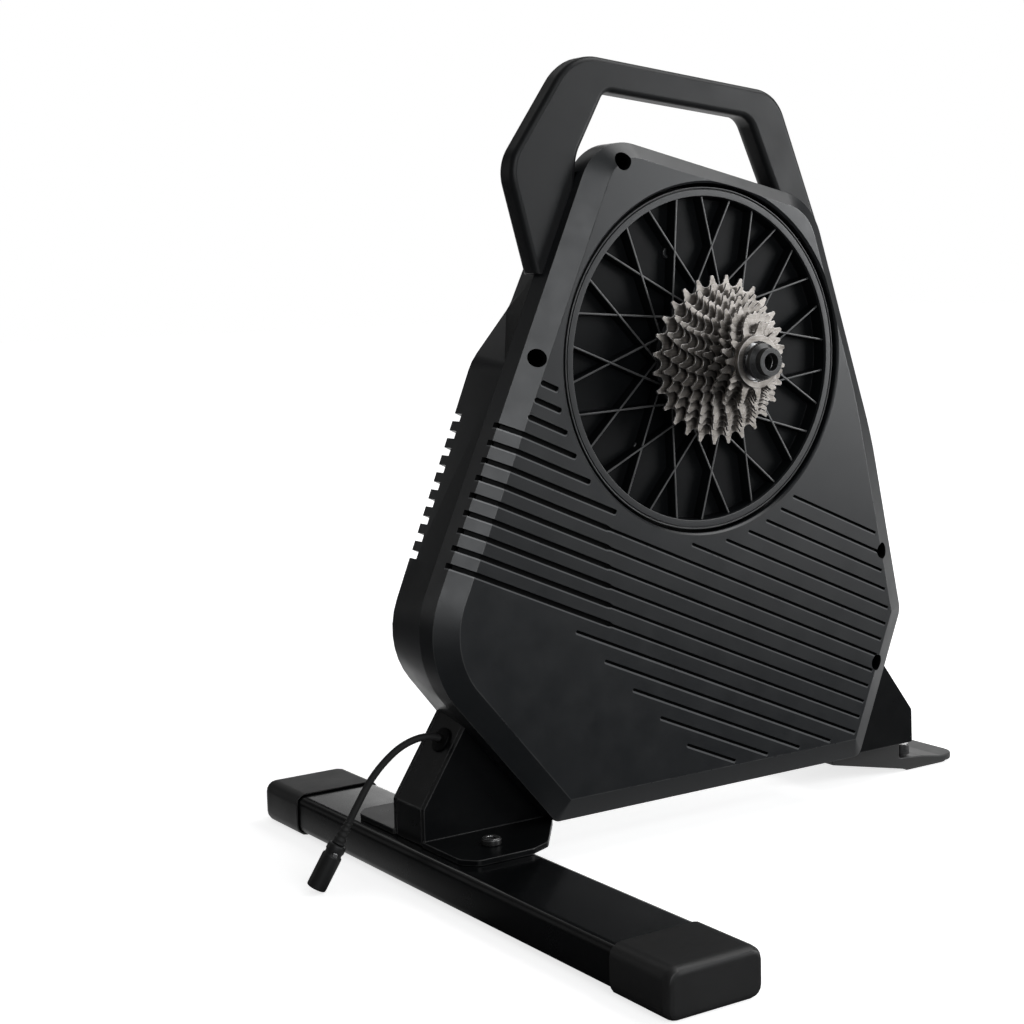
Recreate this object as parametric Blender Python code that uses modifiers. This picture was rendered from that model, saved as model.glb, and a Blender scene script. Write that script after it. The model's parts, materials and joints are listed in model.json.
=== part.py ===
"""Direct-drive smart bike trainer: two moulded covers on a steel chassis, a laced-rib drive pulley with an
eleven-speed cassette, a belt to a braked flywheel, a carry handle, a rear base bar and a front foot.

Metres, +Z up. +X is the way the bike faces, -Y is the cassette side, and Y = 0 is the middle of the bar.
Each piece is placed from the hub: x forward of the hub axle, y behind the outer face of the drive-side
cover, z above the hub axle. The empty hub_frame carries them all.
"""
import math

import bmesh
import bpy
from mathutils import Matrix, Vector

# Overall sizes and clearances
FACE_TO_CENTRE_PLANE = 0.0030
DROPOUT_SPACING = 0.1420
GAP = 0.0003
RUNNING_GAP = 0.0005
OVERCUT = 0.0100
LAP = 0.0010

# Covers. Each outline lists x, z and corner radius, clockwise from the top rear corner.
COVER_WALL = 0.0045
BEVEL_DEPTH = 0.0080
BEVEL_WIDTH = 0.0165
TOP_BEVEL_WIDTH = 0.0100
FRONT_BEVEL_WIDTH = 0.0125
DRIVE_COVER_DEPTH = 0.0260
HOUSING_DEPTH = 0.0730
FAR_BEVEL_DEPTH = 0.0042
DRIVE_OUTLINE = [
    (-0.0874, 0.1580, 0.038), (0.1067, 0.1117, 0.045), (0.1660, -0.0670, 0.400), (0.1960, -0.2050, 0.018),
    (0.1520, -0.3155, 0.008), (-0.1350, -0.3155, 0.006), (-0.2425, -0.1870, 0.074), (-0.1585, 0.0000, 0.007),
    (-0.1315, 0.0600, 0.006),
]
FAR_OUTLINE = [
    (-0.0790, 0.1310, 0.034), (0.1040, 0.1050, 0.045), (0.1600, -0.0670, 0.400), (0.1900, -0.2050, 0.018),
    (0.1480, -0.3130, 0.008), (-0.1330, -0.3130, 0.006), (-0.2344, -0.1862, 0.056), (-0.1555, 0.0050, 0.040),
    (-0.1225, 0.0420, 0.030),
]
OUTLINE_STEPS = [5, 6, 2, 4, 2, 2, 7, 2, 2]
OPENING_RADIUS = 0.1240
OPENING_LIP = 0.0016

# Slats moulded into the covers: parallel grooves, counted down from the hub
SLAT_SLOPE = math.radians(23.4)
SLAT_PITCH = 0.01243
FIRST_SLAT_DROP = 0.0644
SLAT_DEPTH = 0.0028
WIDE_SLAT = 0.0042
NARROW_SLAT = 0.0022
SLAT_TO_OPENING = 0.0080
SLAT_TO_EDGE = 0.0200
SLAT_JOG_X = -0.0900
SIDE_SLAT_RISE = 0.0032
SIDE_SLAT_WIDTH = 0.0052
SIDE_SLAT_DEPTH = 0.0036
SHORT_SLATS = range(0, 3)
BEVEL_SLATS = range(3, 12)
LOW_SLATS = range(12, 17)
SHORT_SLAT_X = -0.1420
SHORT_SLAT_SHIFT = -0.0055
LOW_SLAT_DIAGONAL = -0.3000

# Screw wells of the drive-side cover
SCREW_WELL_RADIUS = 0.0062
SCREW_WELL_DEPTH = 0.0180
SCREW_WELL_WALL = 0.0025
SCREW_WELLS = [(-0.1443, 0.0080), (-0.0710, 0.1385), (0.1700, -0.1550), (0.1640, -0.2420)]

# Carry handle
HANDLE_FRONT = 0.0160
HANDLE_THICKNESS = 0.0210
HANDLE_OUTLINE = [
    (-0.1348, 0.0640, 0.002), (-0.1548, 0.1368, 0.030), (-0.1005, 0.2125, 0.038), (0.0820, 0.1900, 0.030),
    (0.1250, 0.0850, 0.002), (0.0950, 0.0850, 0.002), (0.0550, 0.1715, 0.014), (-0.0735, 0.1865, 0.008),
    (-0.0980, 0.1435, 0.030), (-0.1050, 0.0640, 0.002),
]
HANDLE_STEPS = [1, 4, 6, 5, 1, 1, 4, 3, 3, 1]
HANDLE_OUTER_SIDES = (0, 1, 2, 3)
HANDLE_INNER_SIDES = (5, 6, 7, 8)
HANDLE_ROUNDING = [(0.0, 0.0040, 0.0040), (0.0012, 0.0012, 0.0012), (0.0040, 0.0, 0.0), (0.0130, 0.0, 0.0),
                   (0.0180, 0.0030, 0.0009), (0.0210, 0.0090, 0.0030)]

# Drive pulley
BELT_SEAT_RADIUS = 0.1180
PULLEY_FLANGE = 0.0035
PULLEY_FRONT = 0.0030
PULLEY_BACK = 0.0234
PULLEY_FLANGE_WIDTH = 0.0022
PULLEY_RIM_INNER = 0.1120
PULLEY_WEB_FRONT = 0.0140
PULLEY_WEB_THICKNESS = 0.0040
PULLEY_HUB_RADIUS = 0.0530
PULLEY_BOSS_RADIUS = 0.0220
RIB_FRONT = 0.0062
RIB_WIDTH = 0.0022
RIB_STEP = 0.0003
RIB_PAIRS = 15
RIB_SPREAD = math.radians(18.0)
RIB_START = math.radians(95.0)

# Hub axle, bearings and freehub
AXLE_RADIUS = 0.0085
AXLE_BORE = 0.0061
AXLE_CAP_RADIUS = 0.0098
AXLE_CAP_SHOULDER = 0.0128
AXLE_CAP_REACH = 0.0060
AXLE_CAP_STANDOFF = 0.0020
AXLE_CAP_LAND = 0.0035
AXLE_CAP_CONE = 0.0025
FAR_CAP_RADIUS = 0.0115
FAR_CAP_REACH = 0.0030
BEARING_WIDTH = 0.0070
BEARING_RECESS = 0.0010
BEARING_RADIUS = 0.0130
HUB_BEARING_RADIUS = 0.0150
FREEHUB_RADIUS = 0.0170
FREEHUB_BACK = 0.0018
FREEHUB_FLANGE_RADIUS = 0.0240
FREEHUB_FLANGE_WIDTH = 0.0035
FREEHUB_CONE = 0.0025
FREEHUB_NECK_RADIUS = 0.0200

# Cassette
CHAIN_PITCH = 0.0127
TOOTH_ROOT_DROP = 0.0039
TOOTH_TIP_RISE = 0.0023
SPROCKET_TEETH = [28, 25, 23, 21, 19, 17, 15, 14, 13, 12, 11]
SPROCKET_SPACING = 0.00374
SPROCKET_THICKNESS = 0.0018
LARGEST_SPROCKET_DEPTH = -0.0130
SPACER_RADIUS = 0.0192
LOCKRING_RADIUS = 0.0184
LOCKRING_WIDTH = 0.0030
LOCKRING_BORE = 0.0140

# Flywheel, its shaft and its brake
FLYWHEEL_X = -0.0200
FLYWHEEL_Z = -0.1680
FLYWHEEL_RADIUS = 0.1050
FLYWHEEL_RIM = 0.0250
FLYWHEEL_FRONT = 0.0335
FLYWHEEL_WIDTH = 0.0275
FLYWHEEL_WEB = 0.0050
FLYWHEEL_HUB_RADIUS = 0.0200
FLYWHEEL_HUB_WIDTH = 0.0090
FLYWHEEL_CHAMFER = 0.0020
SHAFT_RADIUS = 0.0080
DRIVEN_PULLEY_RADIUS = 0.0130
POLE_COUNT = 6
POLE_WIDTH = 0.0110
POLE_DEPTH = 0.0080
STATOR_RING = (0.0230, 0.0400)
STATOR_GAP = 0.0040
POLE_ROOT = 0.0040
COIL_SPAN = (0.0470, 0.0670)
COIL_WALL = 0.0055
COIL_CORNER = 0.0044
POLE_TIP_GAP = 0.0030

# Belt and idler
BELT_THICKNESS = 0.0028
BELT_WIDTH = 0.0135
BELT_CLEARANCE = 0.0005
BELT_ARC_STEPS = 36
BELT_SMALL_ARC_STEPS = 8
IDLER_RADIUS = 0.0150
IDLER_PIN_RADIUS = 0.0050
IDLER_SHARE = 0.45
ARM_THICKNESS = 0.0045
ARM_RADIUS = 0.0130
ARM_CORNER = 0.0117
ARM_CORNER_STEPS = 5
ARM_LENGTH = 0.0420
PIN_PROUD = 0.0010

# Chassis
PLATE_THICKNESS = 0.0040
NEAR_PLATE_FRONT = 0.0263
PLATE_SPACING = 0.0337
HUB_TO_FLANGE = 0.3160
REAR_LEG_X = -0.2305
REAR_LEG_SHOULDER = (-0.2305, -0.2940)
REAR_LEG_UPPER = (-0.1660, -0.1960)
SHOULDER_CORNER = 0.0060
UPPER_CORNER = 0.0200
CHASSIS_UPPER_OUTLINE = [
    (-0.0650, 0.0500, 0.020), (-0.0350, 0.0780, 0.020), (0.0400, 0.0700, 0.020), (0.0850, 0.0200, 0.020),
    (0.1450, -0.1840, 0.030), (0.2268, -0.2930, 0.006),
]
FRONT_LEG_FRONT_X = 0.2275
FRONT_LEG_REAR_X = 0.1630
LEG_ARCH_HEIGHT = -0.3060
LEG_ARCH = (-0.1200, 0.1530)
LEG_ARCH_CORNER = 0.0040
LEG_ARCH_LEAN = 0.0006
FLANGE_CORNERS = [
    (-0.1325, 0.0160, 0.010), (-0.1635, -0.0240, 0.010), (-0.1800, -0.0310, 0.010), (-0.2230, -0.0310, 0.008),
    (-0.2320, -0.0210, 0.008),
]
FLANGE_ENDS = (-0.1260, -0.2320)
SPACER_BARS = [(0.0050, 0.0560), (-0.1420, -0.2120), (0.1250, -0.2300)]
SPACER_BAR_RADIUS = 0.0075
BOARD_SIZE = (0.0500, 0.0016, 0.0520)
BOARD_CENTRE = (0.0480, 0.0370, -0.0160)
BOARD_POST = 0.0060

# Stand
BAR_CENTRE_X = -0.2075
BAR_MIDDLE = -0.0030
BAR_WIDTH = 0.0668
BAR_HEIGHT = 0.0277
BAR_WALL = 0.0025
BAR_SPAN = 0.5060
BAR_CORNER = 0.0060
CAP_LENGTH = 0.0550
CAP_PROUD = 0.0018
CAP_BASE = 0.0025
CAP_END_WALL = 0.0040
CAP_CORNER = 0.0085
CAP_CORNER_STEPS = 4
CAP_END_ROUNDING = [(0.0, 0.0050), (0.0012, 0.0022), (0.0035, 0.0006), (0.0070, 0.0)]
FOOT_TOE_X = 0.2970
FOOT_NEAR_Y = 0.0430
FOOT_FAR_Y = 0.1120
FOOT_REAR_X = 0.1560
FOOT_NEAR_CORNER = 0.0150
FOOT_FAR_CORNER = 0.0120
FOOT_TOE_THICKNESS = 0.0052
FOOT_HEEL_THICKNESS = 0.0110
FOOT_SOLE_REAR_X = 0.2380
FOOT_STEP_X = 0.2295
FOOT_STEP_TOP = -0.3375
INSTEP_RUN = 0.0260
INSTEP_DROP = 0.0020
INSTEP_CORNER = 0.0200
TOE_SLOPE_RUN = 0.0200
FOOT_CORNER = 0.0020
FOOT_PAD_THICKNESS = 0.0020
FOOT_PAD_INSET = 0.0040
BOLT_RADIUS = 0.0040
BOLT_HEAD_RADIUS = 0.0068
BOLT_HEAD_HEIGHT = 0.0045
REAR_BOLT = (-0.1970, -0.0050)
FOOT_BOLT = (0.1950, 0.0535)
FOOT_BOLT_LENGTH = 0.0160
TOE_BOLT = (0.2410, 0.0530)
TOE_BOLT_HEIGHT = 0.0090
TOE_BOLT_DEPTH = 0.0050

# Power lead: x, y and z of the bends that it follows from the chassis to the floor
LEAD_RADIUS = 0.0025
LEAD_POINT_SPACING = 0.0120
CABLE_HOLE_RISE = 0.0490
CABLE_HOLE_DEPTH = 0.0450
CABLE_HOLE_RADIUS = 0.0062
GROMMET_RADIUS = 0.0090
GROMMET_FLANGE = 0.0015
GROMMET_LIP = 0.0012
LEAD_INSIDE = 0.0080
LEAD_STRAIGHT = 0.0050
LEAD_BENDS = [
    (-0.2202, 0.0460, -0.2490), (-0.2328, 0.0490, -0.2535), (-0.2434, 0.0530, -0.2625),
    (-0.2535, 0.0570, -0.2753), (-0.2630, 0.0605, -0.2925),
]
RELIEF_LENGTH = 0.0160
RELIEF_RADIUS = 0.0048
RELIEF_NOSE_RADIUS = 0.0031
PLUG_RADIUS = 0.0070
PLUG_LENGTH = 0.0335
PLUG_SOCKET = (0.0040, 0.0100)
PLUG_TIP = (-0.2919, 0.0704)
PLUG_TILT = (-0.0123, 0.0040, -0.0229)

MATERIALS = {
    "cover_plastic": ((0.022, 0.022, 0.025), 0.42, 0.0),
    "handle_plastic": ((0.026, 0.026, 0.029), 0.50, 0.0),
    "pulley_plastic": ((0.020, 0.020, 0.021), 0.45, 0.0),
    "chassis_paint": ((0.008, 0.008, 0.009), 0.38, 0.3),
    "cap_plastic": ((0.010, 0.010, 0.011), 0.55, 0.0),
    "rubber": ((0.012, 0.012, 0.012), 0.80, 0.0),
    "cassette_steel": ((0.52, 0.50, 0.48), 0.30, 1.0),
    "steel": ((0.45, 0.45, 0.46), 0.35, 1.0),
    "black_steel": ((0.020, 0.020, 0.021), 0.35, 0.8),
    "cast_iron": ((0.10, 0.10, 0.11), 0.50, 0.9),
    "copper": ((0.60, 0.28, 0.12), 0.35, 0.9),
    "board": ((0.02, 0.12, 0.05), 0.50, 0.0),
}

# Places that follow from the sizes
FLANGE_TOP = -HUB_TO_FLANGE
LEG_BOTTOM = FLANGE_TOP - PLATE_THICKNESS
BAR_TOP = LEG_BOTTOM - GAP
BAR_BOTTOM = BAR_TOP - BAR_HEIGHT
FLOOR = BAR_BOTTOM - CAP_BASE
REAR_END = BAR_CENTRE_X - BAR_WIDTH / 2 - CAP_PROUD
HUB = Vector((-(REAR_END + FOOT_TOE_X) / 2, -BAR_MIDDLE, -FLOOR))
AXLE_NEAR_END = FACE_TO_CENTRE_PLANE - DROPOUT_SPACING / 2
AXLE_FAR_END = FACE_TO_CENTRE_PLANE + DROPOUT_SPACING / 2
AXLE_TUBE_FRONT = AXLE_NEAR_END + AXLE_CAP_REACH
AXLE_TUBE_BACK = AXLE_FAR_END - FAR_CAP_REACH
SEAM_FRONT = DRIVE_COVER_DEPTH - GAP / 2
SEAM_BACK = DRIVE_COVER_DEPTH + GAP / 2
HOUSING_INNER = HOUSING_DEPTH - COVER_WALL
NEAR_PLATE_BACK = NEAR_PLATE_FRONT + PLATE_THICKNESS
FAR_PLATE_FRONT = NEAR_PLATE_BACK + PLATE_SPACING
FAR_PLATE_BACK = FAR_PLATE_FRONT + PLATE_THICKNESS
CHASSIS_MIDDLE = (NEAR_PLATE_FRONT + FAR_PLATE_BACK) / 2
BAR_NEAR_END = BAR_MIDDLE - BAR_SPAN / 2
BAR_FAR_END = BAR_MIDDLE + BAR_SPAN / 2
PULLEY_FLANGE_RADIUS = BELT_SEAT_RADIUS + PULLEY_FLANGE
SLAT_DIRECTION = Vector((math.cos(SLAT_SLOPE), -math.sin(SLAT_SLOPE)))
SLAT_NORMAL = Vector((math.sin(SLAT_SLOPE), math.cos(SLAT_SLOPE)))
FLYWHEEL_AXIS = (FLYWHEEL_X, FLYWHEEL_Z)
FLYWHEEL_BACK = FLYWHEEL_FRONT + FLYWHEEL_WIDTH
SHARP_CORNER = 0.001
CORNER_STEPS = 3
UPRIGHT = (math.pi / 2, 0, 0)
ALONG_Y = (-math.pi / 2, 0, 0)

for leftover in list(bpy.data.objects):
    bpy.data.objects.remove(leftover, do_unlink=True)

parts = bpy.data.collections.new("smart_bike_trainer")
cutters = bpy.data.collections.new("cutters")
bpy.context.scene.collection.children.link(parts)
bpy.context.scene.collection.children.link(cutters)

hub_frame = bpy.data.objects.new("hub_frame", None)
hub_frame.location = HUB
parts.objects.link(hub_frame)


def make_material(name):
    colour, roughness, metallic = MATERIALS[name]
    material = bpy.data.materials.new(name)
    material.use_nodes = True
    shader = material.node_tree.nodes["Principled BSDF"]
    shader.inputs["Base Color"].default_value = (*colour, 1.0)
    shader.inputs["Roughness"].default_value = roughness
    shader.inputs["Metallic"].default_value = metallic
    return material


materials = {name: make_material(name) for name in MATERIALS}


def place(name, mesh, material, location=(0, 0, 0), rotation=(0, 0, 0), parent=None):
    """Link a mesh as a named piece, or as a cutter where it has no material."""
    piece = bpy.data.objects.new(name, mesh)
    if material:
        parts.objects.link(piece)
        mesh.materials.append(materials[material])
    else:
        cutters.objects.link(piece)
        piece.hide_render = True
        piece.display_type = "WIRE"
    piece.parent = parent or hub_frame
    piece.location = location
    piece.rotation_euler = rotation
    return piece


def turning_axis(name, x, z):
    """Empty on a turning axis, which carries the pieces that turn about it."""
    empty = bpy.data.objects.new(name, None)
    parts.objects.link(empty)
    empty.parent = hub_frame
    empty.location = (x, 0, z)
    return empty


def to_mesh(name, bm):
    bmesh.ops.remove_doubles(bm, verts=bm.verts, dist=0.000002)
    bmesh.ops.recalc_face_normals(bm, faces=bm.faces)
    mesh = bpy.data.meshes.new(name)
    bm.to_mesh(mesh)
    bm.free()
    return mesh


def combine(target, tools, operation="DIFFERENCE"):
    for tool in tools:
        step = target.modifiers.new(tool.name, "BOOLEAN")
        step.operation = operation
        step.object = tool
        step.solver = "EXACT"
    return target


def offset_corners(corners, insets):
    """Move each side of a clockwise outline inwards by its own inset and meet the sides again."""
    moved = []
    points = [Vector(corner[:2]) for corner in corners]
    for i, point in enumerate(points):
        before = (point - points[i - 1]).normalized()
        after = (points[(i + 1) % len(points)] - point).normalized()
        inset_before, inset_after = insets[i - 1], insets[i]
        start = point + Vector((before.y, -before.x)) * inset_before
        end = point + Vector((after.y, -after.x)) * inset_after
        turn = before.cross(after)
        if abs(turn) < 0.01:
            corner = (start + end) / 2
        else:
            corner = start + before * ((end - start).cross(after) / turn)
        radius = corners[i][2] + math.copysign((inset_before + inset_after) / 2, turn)
        moved.append((corner.x, corner.y, max(radius, 0.0004)))
    return moved


def rounded(corners, steps=None, insets=None):
    """Points of a clockwise outline: each corner is an arc with its own count of steps."""
    if steps is None:
        steps = [1 if corner[2] <= SHARP_CORNER else CORNER_STEPS for corner in corners]
    if insets:
        corners = offset_corners(corners, insets)
    points = []
    for i, (x, y, radius) in enumerate(corners):
        corner = Vector((x, y))
        back = Vector(corners[i - 1][:2]) - corner
        ahead = Vector(corners[(i + 1) % len(corners)][:2]) - corner
        room = 0.49 * min(back.length, ahead.length)
        back.normalize()
        ahead.normalize()
        half = back.angle(ahead) / 2
        reach = min(radius / math.tan(half), room) if half < 1.56 else min(radius, room)
        start = corner + back * reach
        end = corner + ahead * reach
        if half >= 1.56:
            points += [start.lerp(end, k / steps[i]) for k in range(steps[i] + 1)]
            continue
        centre = corner + (back + ahead).normalized() * (reach / math.cos(half))
        sweep = math.copysign(math.pi - 2 * half, (start - centre).cross(end - centre))
        for k in range(steps[i] + 1):
            points.append(centre + Matrix.Rotation(sweep * k / steps[i], 2) @ (start - centre))
    return points


def loft(name, sections, material=None, level=False):
    """Closed solid through outlines of x and z at their depths, or of x and y at their heights."""
    bm = bmesh.new()
    rings = []
    for place_on_axis, points in sections:
        spots = [(p[0], p[1], place_on_axis) if level else (p[0], place_on_axis, p[1]) for p in points]
        rings.append([bm.verts.new(spot) for spot in spots])
    for near, far in zip(rings, rings[1:]):
        for i in range(len(near)):
            j = (i + 1) % len(near)
            bm.faces.new((near[i], near[j], far[j], far[i]))
    bm.faces.new(rings[0])
    bm.faces.new(rings[-1])
    bmesh.ops.connect_verts_nonplanar(bm, angle_limit=0.0005, faces=bm.faces)
    return place(name, to_mesh(name, bm), material)


def flat_solid(name, outlines, thickness, material, location, rotation, parent=None):
    """Flat piece from closed outlines: an outline inside another one is a hole."""
    curve = bpy.data.curves.new(name, "CURVE")
    curve.dimensions = "2D"
    curve.fill_mode = "BOTH"
    curve.extrude = thickness / 2
    for outline in outlines:
        spline = curve.splines.new("POLY")
        spline.points.add(len(outline) - 1)
        for point, target in zip(spline.points, outline):
            point.co = (target[0], target[1], 0, 1)
        spline.use_cyclic_u = True
    guide = bpy.data.objects.new(name + "_guide", curve)
    cutters.objects.link(guide)
    bpy.context.view_layer.update()
    evaluated = guide.evaluated_get(bpy.context.evaluated_depsgraph_get())
    mesh = bpy.data.meshes.new_from_object(evaluated)
    bpy.data.objects.remove(guide, do_unlink=True)
    bm = bmesh.new()
    bm.from_mesh(mesh)
    bpy.data.meshes.remove(mesh)
    return place(name, to_mesh(name, bm), material, location, rotation, parent)


def upright_plate(name, outlines, front, back, material=None, parent=None):
    """Plate parallel to the covers, between two depths behind the drive-side face."""
    return flat_solid(name, outlines, back - front, material, (0, (front + back) / 2, 0), UPRIGHT, parent)


def level_plate(name, outlines, bottom, top, material=None):
    """Plate parallel to the floor, between two heights from the hub."""
    return flat_solid(name, outlines, top - bottom, material, (0, 0, (bottom + top) / 2), (0, 0, 0))


def circle(radius, steps, centre=(0, 0)):
    turn = 2 * math.pi / steps
    return [(centre[0] + radius * math.cos(turn * k), centre[1] + radius * math.sin(turn * k))
            for k in range(steps)]


def turned(name, profile, material=None, centre=(0, 0), steps=32, parent=None, location=None,
           rotation=ALONG_Y):
    """Turned piece about an axis along Y. The profile of radius and depth starts at its deepest outer
    point and runs towards the drive side along the outside, then back inside unless it ends on the axis."""
    mesh = bpy.data.meshes.new(name)
    bm = bmesh.new()
    verts = [bm.verts.new((radius, 0, depth)) for radius, depth in profile]
    for a, b in zip(verts, verts[1:]):
        bm.edges.new((a, b))
    if profile[0][0] > 0:
        bm.edges.new((verts[-1], verts[0]))
    bm.to_mesh(mesh)
    bm.free()
    piece = place(name, mesh, material, location or (centre[0], 0, centre[1]), rotation, parent)
    screw = piece.modifiers.new("turn", "SCREW")
    screw.axis = "Z"
    screw.steps = steps
    screw.render_steps = steps
    screw.use_merge_vertices = True
    screw.merge_threshold = 0.00001
    return piece


def ring(name, inner, outer, front, back, material=None, centre=(0, 0), steps=32, parent=None):
    profile = [(outer, back), (outer, front), (inner, front), (inner, back)]
    return turned(name, profile, material, centre, steps, parent)


def disc(name, radius, front, back, material=None, centre=(0, 0), steps=32, parent=None):
    profile = [(0, back), (radius, back), (radius, front), (0, front)]
    return turned(name, profile, material, centre, steps, parent)


def block(name, size, centre, material=None, parent=None, turn=0.0):
    """Block with sizes along x, y and z, turned about the depth axis."""
    bm = bmesh.new()
    matrix = Matrix.Translation(centre) @ Matrix.Rotation(turn, 4, "Y") @ Matrix.Diagonal((*size, 1))
    bmesh.ops.create_cube(bm, size=1, matrix=matrix)
    return place(name, to_mesh(name, bm), material, parent=parent)


def bevel_offset(wall, width, depth):
    """Inset at the face and depth at the side of a wall that runs parallel to a bevelled edge."""
    slope = math.hypot(width, depth)
    return width + wall * (slope - width) / depth, depth + wall * (slope - depth) / width


def drive_cover_sections(inside, back_depth):
    """Sections of the drive-side cover, or of a solid that lies a wall inside it."""
    widths = [BEVEL_WIDTH] * len(DRIVE_OUTLINE)
    widths[0] = TOP_BEVEL_WIDTH
    widths[1] = FRONT_BEVEL_WIDTH
    face_insets = [bevel_offset(inside, width, BEVEL_DEPTH)[0] for width in widths]
    side_depth = bevel_offset(inside, BEVEL_WIDTH, BEVEL_DEPTH)[1]
    side_insets = [inside] * len(widths)
    return [
        (inside, rounded(DRIVE_OUTLINE, OUTLINE_STEPS, face_insets)),
        (side_depth, rounded(DRIVE_OUTLINE, OUTLINE_STEPS, side_insets)),
        (back_depth, rounded(DRIVE_OUTLINE, OUTLINE_STEPS, side_insets)),
    ]


def housing_sections(inside, front_depth):
    """Sections of the flywheel-side housing, which tapers from the seam to its own bevelled face."""
    sides = len(FAR_OUTLINE)
    face_inset, side_step = bevel_offset(inside, BEVEL_WIDTH, FAR_BEVEL_DEPTH)
    return [
        (front_depth, rounded(DRIVE_OUTLINE, OUTLINE_STEPS, [inside + GAP] * sides)),
        (HOUSING_DEPTH - side_step, rounded(FAR_OUTLINE, OUTLINE_STEPS, [inside] * sides)),
        (HOUSING_DEPTH - inside, rounded(FAR_OUTLINE, OUTLINE_STEPS, [face_inset] * sides)),
    ]


def handle_outline(outer_inset, inner_inset):
    insets = [0.0] * len(HANDLE_OUTLINE)
    for side in HANDLE_OUTER_SIDES:
        insets[side] = outer_inset
    for side in HANDLE_INNER_SIDES:
        insets[side] = inner_inset
    return rounded(HANDLE_OUTLINE, HANDLE_STEPS, insets)


def slat_groove(offset, start, stop, jog=None, width=WIDE_SLAT):
    """Outline of a slat groove between two distances along its line, narrow past the jog."""
    line = SLAT_NORMAL * offset
    wide, narrow = SLAT_NORMAL * (width / 2), SLAT_NORMAL * (NARROW_SLAT / 2)
    first, last = line + SLAT_DIRECTION * start, line + SLAT_DIRECTION * stop
    if jog is None:
        return [first - wide, last - wide, last + wide, first + wide]
    if jog <= start:
        return [first - narrow, last - narrow, last + narrow, first + narrow]
    middle = line + SLAT_DIRECTION * jog
    return [first - wide, middle - wide, middle - narrow, last - narrow,
            last + narrow, middle + narrow, middle + wide, first + wide]


def along_slat(x, offset):
    """Distance along a slat line at which it reaches a given x."""
    return (x - SLAT_NORMAL.x * offset) / SLAT_DIRECTION.x


def slat_end(offset):
    """Distance along a slat line at which it meets the face's edge at the front or the bottom."""
    corners = offset_corners(DRIVE_OUTLINE, [SLAT_TO_EDGE] * len(DRIVE_OUTLINE))
    ends = []
    for a, b in zip(corners, corners[1:] + corners[:1]):
        start = Vector(a[:2]) - SLAT_NORMAL * offset
        side = Vector(b[:2]) - Vector(a[:2])
        across = SLAT_DIRECTION.cross(side)
        if abs(across) > 0.0001 and 0 <= start.cross(SLAT_DIRECTION) / across <= 1:
            ends.append(start.cross(side) / across)
    return max(ends)


def drive_slats():
    """Slat grooves of the drive side, clear of the round opening and open at the rear bevel."""
    grooves = []
    lip = OPENING_RADIUS + SLAT_TO_OPENING
    outside = DRIVE_OUTLINE[6][0]
    for index in range(LOW_SLATS.stop):
        offset = -FIRST_SLAT_DROP - SLAT_PITCH * index
        end = slat_end(offset)
        jog = along_slat(SLAT_JOG_X, offset)
        start = along_slat(outside, offset)
        if index in SHORT_SLATS:
            start = along_slat(SHORT_SLAT_X + SHORT_SLAT_SHIFT * index, offset)
        if index in LOW_SLATS:
            diagonal = SLAT_DIRECTION.x + SLAT_DIRECTION.y
            start = (LOW_SLAT_DIAGONAL - offset * (SLAT_NORMAL.x + SLAT_NORMAL.y)) / diagonal
            grooves.append(slat_groove(offset, start, end, start))
        elif -offset < lip:
            crossing = math.sqrt(lip ** 2 - offset ** 2)
            grooves.append(slat_groove(offset, start, -crossing))
            grooves.append(slat_groove(offset, crossing, end, crossing))
        else:
            grooves.append(slat_groove(offset, start, end, jog))
    return grooves


def housing_slats():
    """Slat grooves across the housing's rear bevel."""
    outside = DRIVE_OUTLINE[6][0]
    grooves = []
    for index in BEVEL_SLATS:
        offset = SIDE_SLAT_RISE - FIRST_SLAT_DROP - SLAT_PITCH * index
        start, stop = along_slat(outside, offset), along_slat(SLAT_JOG_X, offset)
        grooves.append(slat_groove(offset, start, stop, width=SIDE_SLAT_WIDTH))
    return grooves


def handle_clearance():
    """Space for the handle's legs in the two covers."""
    outline = rounded(HANDLE_OUTLINE, HANDLE_STEPS, [-RUNNING_GAP] * len(HANDLE_OUTLINE))
    return upright_plate("handle_clearance", [outline], HANDLE_FRONT - RUNNING_GAP,
                         HANDLE_FRONT + HANDLE_THICKNESS + RUNNING_GAP)


def chassis_corners():
    rear_arch, front_arch = LEG_ARCH
    corners = [(REAR_LEG_X, LEG_BOTTOM, SHARP_CORNER), (*REAR_LEG_SHOULDER, SHOULDER_CORNER),
               (*REAR_LEG_UPPER, UPPER_CORNER)]
    corners += CHASSIS_UPPER_OUTLINE
    corners += [(FRONT_LEG_FRONT_X, LEG_BOTTOM, SHARP_CORNER), (FRONT_LEG_REAR_X, LEG_BOTTOM, SHARP_CORNER),
                (front_arch, LEG_ARCH_HEIGHT, LEG_ARCH_CORNER), (rear_arch, LEG_ARCH_HEIGHT, LEG_ARCH_CORNER),
                (rear_arch - LEG_ARCH_LEAN, LEG_BOTTOM, SHARP_CORNER)]
    return corners


def chassis_outline(grow=0.0):
    corners = chassis_corners()
    return rounded(corners, insets=[-grow] * len(corners))


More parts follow.
